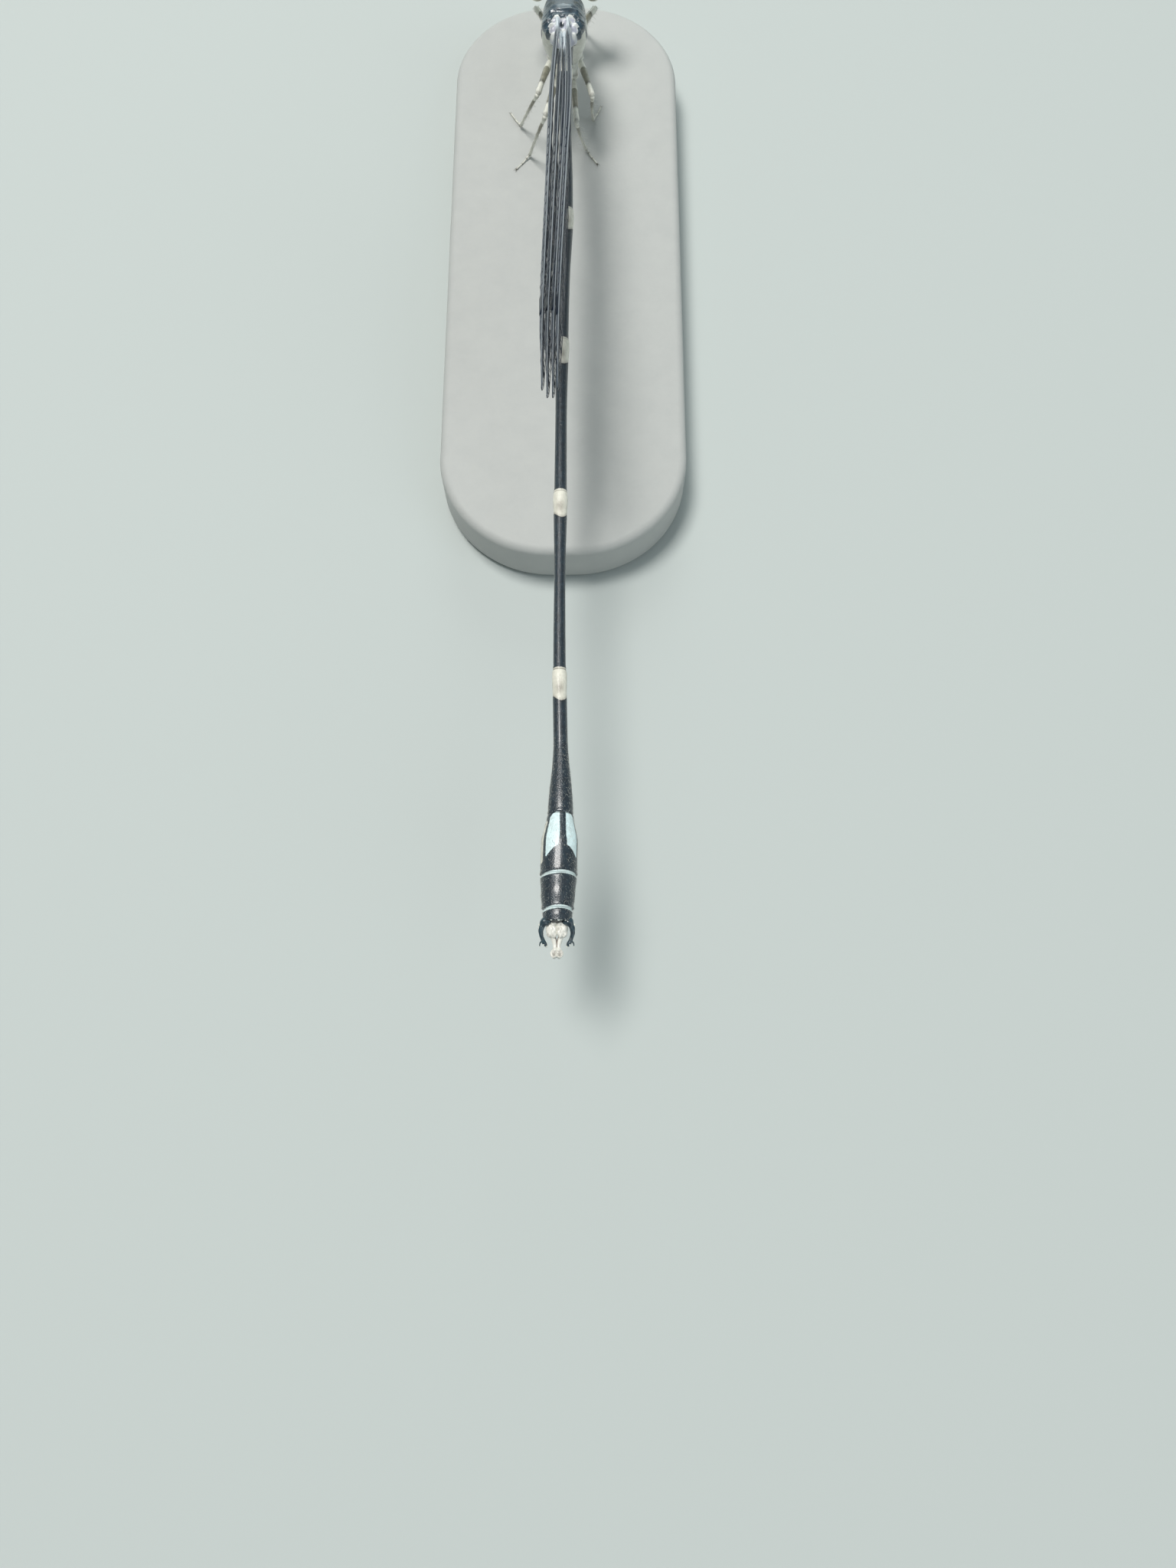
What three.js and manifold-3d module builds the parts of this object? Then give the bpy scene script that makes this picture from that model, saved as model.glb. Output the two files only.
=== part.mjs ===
// A male shadowdamsel damselfly at life size, standing on a small display base.
// Millimetres, +Z up. The origin is the centre of the base's underside, the head points along +Y.
// Body places are written (x, back, z): x to the animal's right, back along the abdomen behind
// the middle of the thorax, z above the line of the abdomen.

import * as THREE from 'three';
import { mergeVertices } from 'three/addons/utils/BufferGeometryUtils.js';
import Module from 'manifold-3d';

const wasm = await Module();
wasm.setup();

// Driving dimensions
const BASE_LENGTH = 34.5;
const BASE_WIDTH = 12;
const BASE_THICK = 2.5;
const BASE_CORNER = 5.5;
const BASE_CHAMFER = 0.35;
const STAND_HEIGHT = 4.4; // line of the abdomen above the base
const BASE_BACK = 9.75; // middle of the base behind the middle of the thorax

const GAP = 0.03; // clear space between neighbouring solids
const MARGIN = 0.035; // growth of a solid that cuts its neighbour

const HEAD_BACK = -4.1;
const HEAD_Z = -0.4;
const EYE_X = 1.46;
const EYE_RADII = [0.67, 0.8, 0.95];
const HEAD_HALF = [1.3, 0.62, 0.8];

const ABDOMEN_START = 0.75;
const BASE_RISE = 0.42; // how far the foot of the abdomen stands above its line
const RISE_LENGTH = 6;
const FLATTEN = 0.97; // height of the abdomen as a share of its width
// Segment lengths and widths at the front, at the waist and at the rear
const SEGMENTS = [
  { name: 'abdomen_s01', length: 0.55, widths: [0.92, 0.94, 0.94] },
  { name: 'abdomen_s02', length: 1.3, widths: [0.95, 0.92, 0.86] },
  { name: 'abdomen_s03', length: 8.6, widths: [0.8, 0.56, 0.58] },
  { name: 'abdomen_s04', length: 7.4, widths: [0.66, 0.54, 0.58] },
  { name: 'abdomen_s05', length: 7.9, widths: [0.64, 0.53, 0.56] },
  { name: 'abdomen_s06', length: 8.4, widths: [0.62, 0.5, 0.54] },
  { name: 'abdomen_s07', length: 6.25, widths: [0.6, 0.6, 1.02] },
  { name: 'abdomen_s08', length: 2.5, widths: [1.06, 1.46, 1.46] },
  { name: 'abdomen_s09', length: 1.35, widths: [1.46, 1.36, 1.24] },
  { name: 'abdomen_s10', length: 0.48, widths: [1.2, 1.17, 1.12] },
];

const WING_THICK = 0.5;
const WING_SLOPE = THREE.MathUtils.degToRad(11.5);
const WING_SWAY = THREE.MathUtils.degToRad(0.8); // the closed wings point a little to the animal's left
const WING_FRONT = 0.3; // leading edge above the wing's base line
const WING_REAR = -4.25; // deepest point of the trailing edge
const FOREWING = { length: 24.8, back: 0.55, z: 1.95, offset: 0.81 };
const HINDWING = { length: 23.9, back: 1.75, z: 1.8, offset: 0.27 };

const FEMUR_RADII = [0.27, 0.25];
const TIBIA_RADII = [0.26, 0.25];
const COXA_RADII = [0.36, 0.27];
const FOOT_RADII = [0.25, 0.25];
const LIMB_SIDES = 8;
// Joints of each leg as (x, back, z) for the left and the right side
const LEGS = [
  {
    name: 'foreleg',
    hip: [0.35, -2.0, -1.2], root: [0.5, -2.3, -2.0],
    left: { knee: [-1.6, -4.3, -2.05], ankle: [-0.95, -5.5], toe: [-1.0, -6.6] },
    right: { knee: [1.6, -4.3, -2.05], ankle: [0.95, -5.4], toe: [1.1, -6.5] },
  },
  {
    name: 'midleg',
    hip: [0.5, -1.0, -1.5], root: [0.75, -0.9, -2.3],
    left: { knee: [-1.37, 2.55, -1.3], ankle: [-2.4, 1.4], toe: [-2.95, 0.45] },
    right: { knee: [1.43, 2.8, -1.2], ankle: [1.5, 1.0], toe: [1.9, 0.0] },
  },
  {
    name: 'hindleg',
    hip: [0.36, 0.0, -1.4], root: [0.42, 0.45, -2.3],
    left: { knee: [-0.95, 4.3, -1.0], ankle: [-1.9, 3.4], toe: [-2.6, 4.25] },
    right: { knee: [0.63, 4.7, -1.0], ankle: [1.1, 3.0], toe: [1.7, 3.9] },
  },
];

// Colours
const BLACK = new THREE.MeshStandardMaterial({ color: 0x141c2a, roughness: 0.35, metalness: 0 });
const CREAM = new THREE.MeshStandardMaterial({ color: 0xdcd9c8, roughness: 0.5, metalness: 0 });
const EYE = new THREE.MeshStandardMaterial({ color: 0xb9b27e, roughness: 0.2, metalness: 0 });
const WING = new THREE.MeshStandardMaterial({ color: 0x6d7a86, roughness: 0.3, metalness: 0 });
const STAND = new THREE.MeshStandardMaterial({ color: 0xe6e4de, roughness: 0.6, metalness: 0 });

const animal = new THREE.Group();
animal.position.set(0, BASE_BACK, BASE_THICK + STAND_HEIGHT);
const group = new THREE.Group();
group.add(animal);

// Helpers

const spot = (x, back, z) => new THREE.Vector3(x, -back, z);
const mix = THREE.MathUtils.lerp;
const smooth = THREE.MathUtils.smoothstep;

// Value at t along evenly or unevenly spaced [t, value] stops, eased between them.
function along(stops, t) {
  const last = stops.length - 1;
  if (t <= stops[0][0]) return stops[0][1];
  if (t >= stops[last][0]) return stops[last][1];
  const i = stops.findIndex((stop) => stop[0] >= t) - 1;
  return mix(stops[i][1], stops[i + 1][1], smooth(t, stops[i][0], stops[i + 1][0]));
}

// The closed solid of a geometry, with its seams merged and its faces turned outwards.
function solidOf(geometry) {
  const bare = geometry.clone();
  bare.deleteAttribute('normal');
  bare.deleteAttribute('uv');
  const merged = mergeVertices(bare, 1e-4);
  const corners = Array.from(merged.index.array);
  const kept = [];
  for (let i = 0; i < corners.length; i += 3) {
    const [a, b, c] = corners.slice(i, i + 3);
    if (a !== b && b !== c && c !== a) kept.push(a, b, c);
  }
  const points = merged.getAttribute('position');
  const [p, q, r] = [new THREE.Vector3(), new THREE.Vector3(), new THREE.Vector3()];
  let volume = 0;
  for (let i = 0; i < kept.length; i += 3) {
    p.fromBufferAttribute(points, kept[i]);
    q.fromBufferAttribute(points, kept[i + 1]);
    r.fromBufferAttribute(points, kept[i + 2]);
    volume += p.dot(q.cross(r));
  }
  if (volume < 0) kept.reverse();
  return new wasm.Manifold(new wasm.Mesh({
    numProp: 3,
    vertProperties: new Float32Array(points.array),
    triVerts: new Uint32Array(kept),
  }));
}

// Adds a solid to the scene as a named mesh, after the solids in its way are cut from it.
function add(name, solid, material, cutters = [], parent = animal) {
  const left = cutters.reduce((rest, cutter) => rest.subtract(cutter), solid);
  const { vertProperties, triVerts } = left.getMesh();
  const geometry = new THREE.BufferGeometry();
  geometry.setAttribute('position', new THREE.BufferAttribute(new Float32Array(vertProperties), 3));
  geometry.setIndex(new THREE.BufferAttribute(new Uint32Array(triVerts), 1));
  geometry.computeVertexNormals();
  const mesh = new THREE.Mesh(geometry, material.clone());
  mesh.name = name;
  parent.add(mesh);
  return mesh;
}

// A lathe of unit reach whose every point is moved to place(along, turn, reach).
function warped(rings, sides, place) {
  const profile = rings.map(([reach, t]) => new THREE.Vector2(reach, t));
  const geometry = new THREE.LatheGeometry(profile, sides);
  const points = geometry.getAttribute('position');
  for (let i = 0; i < points.count; i += 1) {
    const reach = Math.hypot(points.getX(i), points.getZ(i));
    const turn = Math.atan2(points.getX(i), points.getZ(i));
    const p = place(points.getY(i), turn, reach);
    points.setXYZ(i, p.x, p.y, p.z);
  }
  return solidOf(geometry);
}

// Rings of a lathe with flat ends: full reach from t = 0 to t = 1 in the given number of steps.
function drum(steps, endReach = 1) {
  const rings = [[0, 0], [endReach, 0]];
  for (let i = 1; i < steps; i += 1) rings.push([1, i / steps]);
  rings.push([endReach, 1], [0, 1]);
  return rings;
}

// An ellipsoid with a centre and three half axes, grown by a margin.
function ellipsoid(centre, halves, columns, rows, margin = 0) {
  const geometry = new THREE.SphereGeometry(1, columns, rows);
  geometry.rotateX(Math.PI / 2);
  geometry.scale(halves[0] + margin, halves[1] + margin, halves[2] + margin);
  geometry.translate(centre.x, centre.y, centre.z);
  return solidOf(geometry);
}

// A tapered limb between two points, kept above a floor. Its far end is round, and its near end
// is too, or flat where it starts clear of the ball of the joint before it.
function limb(joint, to, radii, { margin = 0, ball = 0, floor = -Infinity } = {}) {
  const axis = to.clone().sub(joint).normalize();
  const from = joint.clone().addScaledVector(axis, ball > 0 ? ball + GAP : 0);
  const length = from.distanceTo(to);
  const side = new THREE.Vector3(0, 0, 1).cross(axis).normalize();
  const up = axis.clone().cross(side);
  const start = radii[0] + margin;
  const end = radii[1] + margin;
  const flatEnd = [[0, -margin], [0.85, -margin], [1, 0.08]];
  const roundEnd = [[0, -start], [0.7, -start * 0.7], [1, 0]];
  const nearEnd = ball > 0 ? flatEnd : roundEnd;
  const rings = [...nearEnd, [1, length], [0.7, length + end * 0.7], [0, length + end]];
  return warped(rings, LIMB_SIDES, (t, turn, reach) => {
    const radius = reach * mix(start, end, THREE.MathUtils.clamp(t / length, 0, 1));
    const p = from.clone().addScaledVector(axis, t);
    p.addScaledVector(side, radius * Math.cos(turn)).addScaledVector(up, radius * Math.sin(turn));
    p.z = Math.max(p.z, floor);
    return p;
  });
}

// Thorax: upright slices from its front to the overhang that carries the wings

const THORAX_FRONT = -2.4;
const THORAX_REAR = 2.3;
const THORAX_POWER = 2.5; // squareness of the slices, where 2 is an ellipse
const THORAX_WIDTH = [[-2.4, 0.62], [-1.2, 1.12], [0.1, 1.2], [1.0, 1.1], [2.3, 0.5]];
const THORAX_TOP = [[-2.4, 0.5], [-0.9, 1.35], [0.4, 1.82], [1.6, 1.7], [2.3, 1.3]];
const THORAX_UNDER = [[-2.4, -1.35], [-1.2, -1.95], [0.2, -1.8], [1.15, 0.8], [2.3, 0.95]];

function squarish(value, power) {
  return Math.sign(value) * Math.abs(value) ** (2 / power);
}

function slices(front, rear, width, top, under, power, steps, margin) {
  return warped(drum(steps, 0.8), 20, (t, turn, reach) => {
    const back = mix(front - margin, rear + margin, t);
    const half = along(width, back) + margin;
    const high = along(top, back) + margin;
    const low = along(under, back) - margin;
    const x = half * squarish(Math.cos(turn), power);
    const z = (high - low) / 2 * squarish(Math.sin(turn), power);
    return spot(x * reach, back, (high + low) / 2 + z * reach);
  });
}

const thoraxSolid = (margin) => slices(
  THORAX_FRONT, THORAX_REAR, THORAX_WIDTH, THORAX_TOP, THORAX_UNDER, THORAX_POWER, 14, margin,
);
const thoraxGrown = thoraxSolid(MARGIN);
add('thorax', thoraxSolid(0), BLACK);

const PROTHORAX_FRONT = -3.3;
const PROTHORAX_REAR = THORAX_FRONT - GAP;
const PROTHORAX_POWER = 2.2;
const PROTHORAX_WIDTH = [[PROTHORAX_FRONT, 0.36], [-2.95, 0.66], [PROTHORAX_REAR, 0.6]];
const PROTHORAX_TOP = [[PROTHORAX_FRONT, 0.05], [-2.9, 0.36], [PROTHORAX_REAR, 0.3]];
const PROTHORAX_UNDER = [[PROTHORAX_FRONT, -0.75], [-2.9, -1.2], [PROTHORAX_REAR, -1.3]];
const prothoraxSolid = (margin) => slices(
  PROTHORAX_FRONT, PROTHORAX_REAR, PROTHORAX_WIDTH, PROTHORAX_TOP, PROTHORAX_UNDER,
  PROTHORAX_POWER, 5, margin,
);
add('prothorax', prothoraxSolid(0), BLACK);

// Head, eyes, face and feelers

const FACE_HALF = [0.78, 0.55, 0.72];
const headCentre = spot(0, HEAD_BACK, HEAD_Z);
const eyeCentre = (side) => spot(side * EYE_X, HEAD_BACK, HEAD_Z);
const eyeSolid = (side, margin) => ellipsoid(eyeCentre(side), EYE_RADII, 18, 12, margin);
const faceCentre = spot(0, HEAD_BACK - 0.55, HEAD_Z - 0.55);
const faceSolid = (margin) => ellipsoid(faceCentre, FACE_HALF, 16, 10, margin);
const headSolid = (margin) => ellipsoid(headCentre, HEAD_HALF, 20, 12, margin);
const eyesGrown = [-1, 1].map((side) => eyeSolid(side, MARGIN));
const headGrown = headSolid(MARGIN);

add('head', headSolid(0), BLACK, [...eyesGrown, prothoraxSolid(MARGIN)]);
add('face', faceSolid(0), CREAM, [headGrown, ...eyesGrown]);
add('eye_left', eyeSolid(-1, 0), EYE);
add('eye_right', eyeSolid(1, 0), EYE);

const FEELER_RADII = [0.26, 0.25];
const FEELER_ROOT = [0.52, HEAD_BACK - 0.6, HEAD_Z + 0.42];
const FEELER_TIP = [1.05, HEAD_BACK - 1.7, HEAD_Z + 1.35];
const onSide = (side, [x, back, z]) => spot(side * x, back, z);
for (const [name, side] of [['antenna_left', -1], ['antenna_right', 1]]) {
  const feeler = limb(onSide(side, FEELER_ROOT), onSide(side, FEELER_TIP), FEELER_RADII);
  add(name, feeler, BLACK, [headGrown, faceSolid(MARGIN), ...eyesGrown]);
}

// Abdomen: ten round segments along one gently bowed line

// Slight bows of the abdomen to the right, each a bell: height, middle and half width
const BOWS = [[0.2, 10.5, 5.5], [0.11, 40, 4]];

function abdomenLine(back) {
  const bells = BOWS.map(([height, middle, half]) => height * Math.exp(-(((back - middle) / half) ** 2)));
  const rise = BASE_RISE * (1 - smooth(back, ABDOMEN_START, ABDOMEN_START + RISE_LENGTH));
  return spot(bells[0] + bells[1], back, rise);
}

function segmentSolid(start, { length, widths }, margin) {
  const steps = Math.max(4, Math.min(9, Math.round(length * 1.2)));
  const stops = [[0, widths[0]], [0.5, widths[1]], [1, widths[2]]];
  return warped(drum(steps), 14, (t, turn, reach) => {
    const back = start + mix(GAP / 2 - margin, length - GAP / 2 + margin, t);
    const radius = reach * (along(stops, t) / 2 + margin);
    const p = abdomenLine(back);
    return p.add(spot(radius * Math.cos(turn), 0, FLATTEN * radius * Math.sin(turn)));
  });
}

let back = ABDOMEN_START;
let tenthGrown = null;
for (const segment of SEGMENTS) {
  add(segment.name, segmentSolid(back, segment, 0), BLACK, [thoraxGrown]);
  tenthGrown = segmentSolid(back, segment, MARGIN);
  back += segment.length;
}
const ABDOMEN_END = back;

// Claspers at the end of the abdomen: a pair of curved outer arms and a pair of long inner ones

// Points as (x, distance behind the abdomen's end, z), radii as stops along the arm
const INNER_ARM = [[0.19, 0.03, -0.3], [0.18, 0.7, -0.3], [0.17, 1.45, -0.12]];
const INNER_RADII = [[0, 0.16], [0.6, 0.13], [0.85, 0.155], [1, 0.13]];
const OUTER_ARM = [[0.37, 0.03, 0.12], [0.58, 0.4, 0.14], [0.56, 0.8, 0.04], [0.42, 1.2, -0.06]];
const OUTER_RADII = [[0, 0.19], [0.4, 0.15], [1, 0.11]];

function arm(side, points, radii, sides, steps) {
  const places = points.map(([x, behind, z]) => spot(side * x, ABDOMEN_END + behind, z));
  const curve = new THREE.CatmullRomCurve3(places);
  const { tangents, normals, binormals } = curve.computeFrenetFrames(steps, false);
  const rings = [[0, 0], [0.7, 0]];
  for (let i = 1; i < steps; i += 1) rings.push([1, i / steps]);
  rings.push([0.7, 1], [0, 1]);
  return (margin) => warped(rings, sides, (t, turn, reach) => {
    const i = Math.round(t * steps);
    const radius = reach * (along(radii, t) + margin);
    const p = curve.getPointAt(t).addScaledVector(tangents[i], (t < 0.5 ? -1 : 1) * margin);
    p.addScaledVector(normals[i], radius * Math.cos(turn));
    return p.addScaledVector(binormals[i], radius * Math.sin(turn));
  });
}

for (const [label, side] of [['left', -1], ['right', 1]]) {
  const inner = arm(side, INNER_ARM, INNER_RADII, 8, 7);
  const outer = arm(side, OUTER_ARM, OUTER_RADII, 8, 8);
  add(`paraproct_${label}`, inner(0), CREAM, [tenthGrown]);
  add(`cercus_${label}`, outer(0), BLACK, [tenthGrown, inner(MARGIN)]);
}

// Legs

const FLOOR = -STAND_HEIGHT + GAP;
const ANKLE_Z = FLOOR + FOOT_RADII[0];
for (const leg of LEGS) {
  for (const [label, side] of [['left', -1], ['right', 1]]) {
    const bend = leg[label];
    const hip = spot(side * leg.hip[0], leg.hip[1], leg.hip[2]);
    const root = spot(side * leg.root[0], leg.root[1], leg.root[2]);
    const knee = spot(...bend.knee);
    const ankle = spot(...bend.ankle, ANKLE_Z);
    const toe = spot(...bend.toe, ANKLE_Z);
    const coxa = (margin) => limb(hip, root, COXA_RADII, { margin });
    const femur = (margin) => limb(root, knee, FEMUR_RADII, { margin, ball: COXA_RADII[1] });
    const tibia = (margin) => limb(knee, ankle, TIBIA_RADII, { margin, ball: FEMUR_RADII[1] });
    const tarsus = limb(ankle, toe, FOOT_RADII, { ball: TIBIA_RADII[1], floor: FLOOR });
    const name = `${leg.name}_${label}`;
    add(`${name}_coxa`, coxa(0), CREAM, [thoraxGrown]);
    add(`${name}_femur`, femur(0), CREAM, [thoraxGrown, coxa(MARGIN)]);
    add(`${name}_tibia`, tibia(0), CREAM, [femur(MARGIN)]);
    add(`${name}_tarsus`, tarsus, CREAM, [tibia(MARGIN)]);
  }
}

// Wings: flat plates side by side, closed over the back with the leading edges up

function wingSolid({ length, back: root, z, offset }, side) {
  const outline = new THREE.Shape();
  outline.moveTo(0, WING_FRONT - 0.1);
  outline.splineThru([
    [0.38, WING_FRONT], [0.8, WING_FRONT - 0.12], [0.93, WING_FRONT - 0.6], [1, -1.75],
    [0.93, -3.2], [0.8, WING_REAR + 0.25], [0.66, WING_REAR], [0.45, -3.1],
    [0.28, -1.1], [0.16, -0.52], [0, -0.42],
  ].map(([share, rise]) => new THREE.Vector2(share * length, rise)));
  outline.closePath();
  const flat = { depth: WING_THICK, bevelEnabled: false, curveSegments: 4 };
  const plate = new THREE.ExtrudeGeometry(outline, flat);
  plate.translate(0, 0, -WING_THICK / 2);
  const span = new THREE.Vector3(0, -Math.cos(WING_SLOPE), Math.sin(WING_SLOPE));
  const rise = new THREE.Vector3(0, Math.sin(WING_SLOPE), Math.cos(WING_SLOPE));
  const toSide = new THREE.Matrix4().makeBasis(span, rise, new THREE.Vector3(-1, 0, 0));
  plate.applyMatrix4(toSide);
  plate.translate(side * offset, 0, 0);
  plate.rotateZ(-WING_SWAY);
  plate.translate(0, -root, z);
  return solidOf(plate);
}

const WINGS = [
  ['forewing_left', FOREWING, -1], ['forewing_right', FOREWING, 1],
  ['hindwing_left', HINDWING, -1], ['hindwing_right', HINDWING, 1],
];
const abdomenRoots = [1, 2].map((i) => {
  const start = ABDOMEN_START + SEGMENTS.slice(0, i).reduce((sum, s) => sum + s.length, 0);
  return segmentSolid(start, SEGMENTS[i], MARGIN);
});
for (const [name, wing, side] of WINGS) {
  add(name, wingSolid(wing, side), WING, [thoraxGrown, ...abdomenRoots]);
}

// Display base: a flat block with round corners and a small chamfer

const corner = BASE_CORNER;
const [halfX, halfY] = [BASE_WIDTH / 2 - BASE_CHAMFER, BASE_LENGTH / 2 - BASE_CHAMFER];
const plan = new THREE.Shape();
plan.moveTo(-halfX + corner, -halfY);
plan.lineTo(halfX - corner, -halfY);
plan.absarc(halfX - corner, -halfY + corner, corner, -Math.PI / 2, 0);
plan.lineTo(halfX, halfY - corner);
plan.absarc(halfX - corner, halfY - corner, corner, 0, Math.PI / 2);
plan.lineTo(-halfX + corner, halfY);
plan.absarc(-halfX + corner, halfY - corner, corner, Math.PI / 2, Math.PI);
plan.lineTo(-halfX, -halfY + corner);
plan.absarc(-halfX + corner, -halfY + corner, corner, Math.PI, 1.5 * Math.PI);
const block = new THREE.ExtrudeGeometry(plan, {
  depth: BASE_THICK - 2 * BASE_CHAMFER,
  bevelThickness: BASE_CHAMFER,
  bevelSize: BASE_CHAMFER,
  bevelSegments: 1,
  curveSegments: 8,
});
block.translate(0, 0, BASE_CHAMFER);
add('stand_base', solidOf(block), STAND, [], group);

export default group;
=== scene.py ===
"""A male shadowdamsel damselfly at life size, wings closed, standing on a small display base.

Shapes are worked out in millimetres in the animal's own frame, (x, back, z): x to its right,
back along the abdomen behind the middle of the thorax, z above the line of the abdomen.
"""

import bpy
import numpy as np
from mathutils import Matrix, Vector


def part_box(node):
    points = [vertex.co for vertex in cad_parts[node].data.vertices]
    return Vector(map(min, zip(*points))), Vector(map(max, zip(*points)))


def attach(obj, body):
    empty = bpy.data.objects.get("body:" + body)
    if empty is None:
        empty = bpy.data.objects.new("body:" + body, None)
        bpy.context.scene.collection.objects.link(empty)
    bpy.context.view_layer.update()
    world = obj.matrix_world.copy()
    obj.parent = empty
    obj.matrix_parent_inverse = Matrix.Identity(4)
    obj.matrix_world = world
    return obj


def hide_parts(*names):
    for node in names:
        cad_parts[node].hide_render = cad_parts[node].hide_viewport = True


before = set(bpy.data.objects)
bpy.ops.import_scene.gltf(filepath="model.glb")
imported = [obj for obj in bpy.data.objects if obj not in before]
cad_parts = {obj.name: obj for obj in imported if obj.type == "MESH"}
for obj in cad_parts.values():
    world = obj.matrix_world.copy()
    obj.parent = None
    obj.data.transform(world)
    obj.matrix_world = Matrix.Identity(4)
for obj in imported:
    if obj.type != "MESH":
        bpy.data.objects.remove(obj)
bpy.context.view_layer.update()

# Driving dimensions in millimetres

MM = 0.001
TAU = 2 * np.pi
TOP_OF_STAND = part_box("stand_base")[1][2] / MM
STAND_HEIGHT = 4.4  # from the top of the base to the line of the abdomen
AXIS_Z = TOP_OF_STAND + STAND_HEIGHT
BASE_BACK = 9.75  # the middle of the base, behind the middle of the thorax

HEAD = np.array([0, -4.1, -0.4])
HEAD_HALVES = np.array([1.28, 0.62, 0.8])
EYE_X = 1.46
EYE_RADII = np.array([0.66, 0.79, 0.94])

ABDOMEN_START = 0.75
BASE_RISE, RISE_LENGTH = 0.42, 6.0
ROLL = np.radians(12)  # the abdomen's back is turned this far to the animal's right
# Segment lengths, and widths at the front, the waist and the rear
SEGMENTS = [
    (0.55, (0.88, 0.90, 0.90)),
    (1.30, (0.92, 0.89, 0.83)),
    (8.60, (0.78, 0.54, 0.56)),
    (7.40, (0.64, 0.52, 0.56)),
    (7.90, (0.62, 0.51, 0.54)),
    (8.40, (0.60, 0.48, 0.52)),
    (6.25, (0.58, 0.58, 1.00)),
    (2.50, (1.04, 1.44, 1.44)),
    (1.35, (1.44, 1.34, 1.22)),
    (0.48, (1.18, 1.15, 1.10)),
]
JOINTS = ABDOMEN_START + np.concatenate([[0], np.cumsum([length for length, _ in SEGMENTS])])
ABDOMEN_END = JOINTS[-1]

WING_SLOPE = np.radians(11.5)
# Middle of the four closed wings, and how far the outer pair stands from it, by share of the span
WING_SWAY = [(0, -0.03), (0.26, -0.06), (0.5, -0.17), (0.7, -0.27), (0.86, -0.35), (1, -0.33)]
WING_SPREAD = [(0, 0.25), (0.08, 0.26), (0.16, 0.33), (0.26, 0.40), (0.5, 0.38), (0.7, 0.35), (1, 0.31)]
# Place is a wing's share of the spread, root and stigma are shares of its span
FOREWING = {"length": 24.7, "back": 0.55, "z": 1.95, "place": 1.0, "root": 0.035, "stigma": 0.843}
HINDWING = {"length": 23.55, "back": 1.75, "z": 1.80, "place": 0.36, "root": 0.012, "stigma": 0.815}

FLOOR_Z = -STAND_HEIGHT
# Hip, root of the thigh and knee as (x, back, z), then ankle and toe on the base as (x, back)
LEGS = {
    "foreleg_left": [(-0.35, -2, -1.2), (-0.5, -2.3, -2), (-1.6, -4.3, -2.05), (-0.95, -5.5), (-1, -6.6)],
    "foreleg_right": [(0.35, -2, -1.2), (0.5, -2.3, -2), (1.6, -4.3, -2.05), (0.95, -5.4), (1.1, -6.5)],
    "midleg_left": [(-0.5, -1.0, -1.5), (-0.75, -0.9, -2.3), (-1.37, 2.55, -1.3), (-2.4, 1.4), (-2.95, 0.45)],
    "midleg_right": [(0.5, -1.0, -1.5), (0.75, -0.9, -2.3), (1.43, 2.8, -1.2), (1.5, 1.0), (1.9, 0.0)],
    "hindleg_left": [(-0.36, 0.0, -1.4), (-0.42, 0.45, -2.3), (-0.95, 4.3, -1.0), (-1.9, 3.4), (-2.6, 4.25)],
    "hindleg_right": [(0.36, 0.0, -1.4), (0.42, 0.45, -2.3), (0.63, 4.7, -1.0), (1.1, 3.0), (1.7, 3.9)],
}

SIDES = (("left", -1), ("right", 1))
rng = np.random.default_rng(20)

# Number helpers


def smooth(t, low, high):
    """Rises from 0 at low to 1 at high with level ends."""
    s = np.clip((np.asarray(t, float) - low) / (high - low), 0, 1)
    return s * s * (3 - 2 * s)


def eased(stops, t):
    """Value at t along (t, value) stops, eased between each pair."""
    t = np.asarray(t, float)
    out = np.full(t.shape, float(stops[0][1]))
    for (t0, v0), (t1, v1) in zip(stops, stops[1:]):
        out = out + (v1 - v0) * smooth(t, t0, t1)
    return out


def curve(stops, t):
    """Cubic through the stops, with the slope at each stop taken from its two neighbours."""
    s = np.asarray(stops, float)
    x, y = s[:, 0], s[:, 1:]
    slope = np.gradient(y, x, axis=0)
    t = np.clip(np.asarray(t, float), x[0], x[-1])
    i = np.clip(np.searchsorted(x, t, side="right") - 1, 0, len(x) - 2)
    h = (x[i + 1] - x[i])[..., None]
    f = (t - x[i])[..., None] / h
    f2, f3 = f * f, f * f * f
    near = y[i] * (2 * f3 - 3 * f2 + 1) + slope[i] * h * (f3 - 2 * f2 + f)
    far = y[i + 1] * (3 * f2 - 2 * f3) + slope[i + 1] * h * (f3 - f2)
    return (near + far)[..., 0] if y.shape[1] == 1 else near + far


def bump(value, middle, width):
    """A bell of height 1."""
    return np.exp(-(((value - middle) / width) ** 2))


def unit(v):
    """The vectors at length 1."""
    return v / np.maximum(np.linalg.norm(v, axis=-1, keepdims=True), 1e-9)


def squarish(value, power):
    """Turns a circle's sine or cosine into that of a rounder square."""
    return np.sign(value) * np.abs(value) ** (2 / power)


def to_row(points):
    """Places in the animal's frame, in millimetres, as places in the part's frame, in metres."""
    p = np.asarray(points, float)
    return np.stack([p[..., 0], BASE_BACK - p[..., 1], AXIS_Z + p[..., 2]], -1) * MM


def full_turn(columns):
    """Angles once round, one for each column."""
    return np.arange(columns) / columns * TAU


def around(axis, side, turn, flat=1.0):
    """Ways at the angles turn round each axis, from its side; flat is their height over their width."""
    over = np.cross(axis, side) * flat
    return side[..., None, :] * np.cos(turn)[:, None] + over[..., None, :] * np.sin(turn)[:, None]


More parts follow.
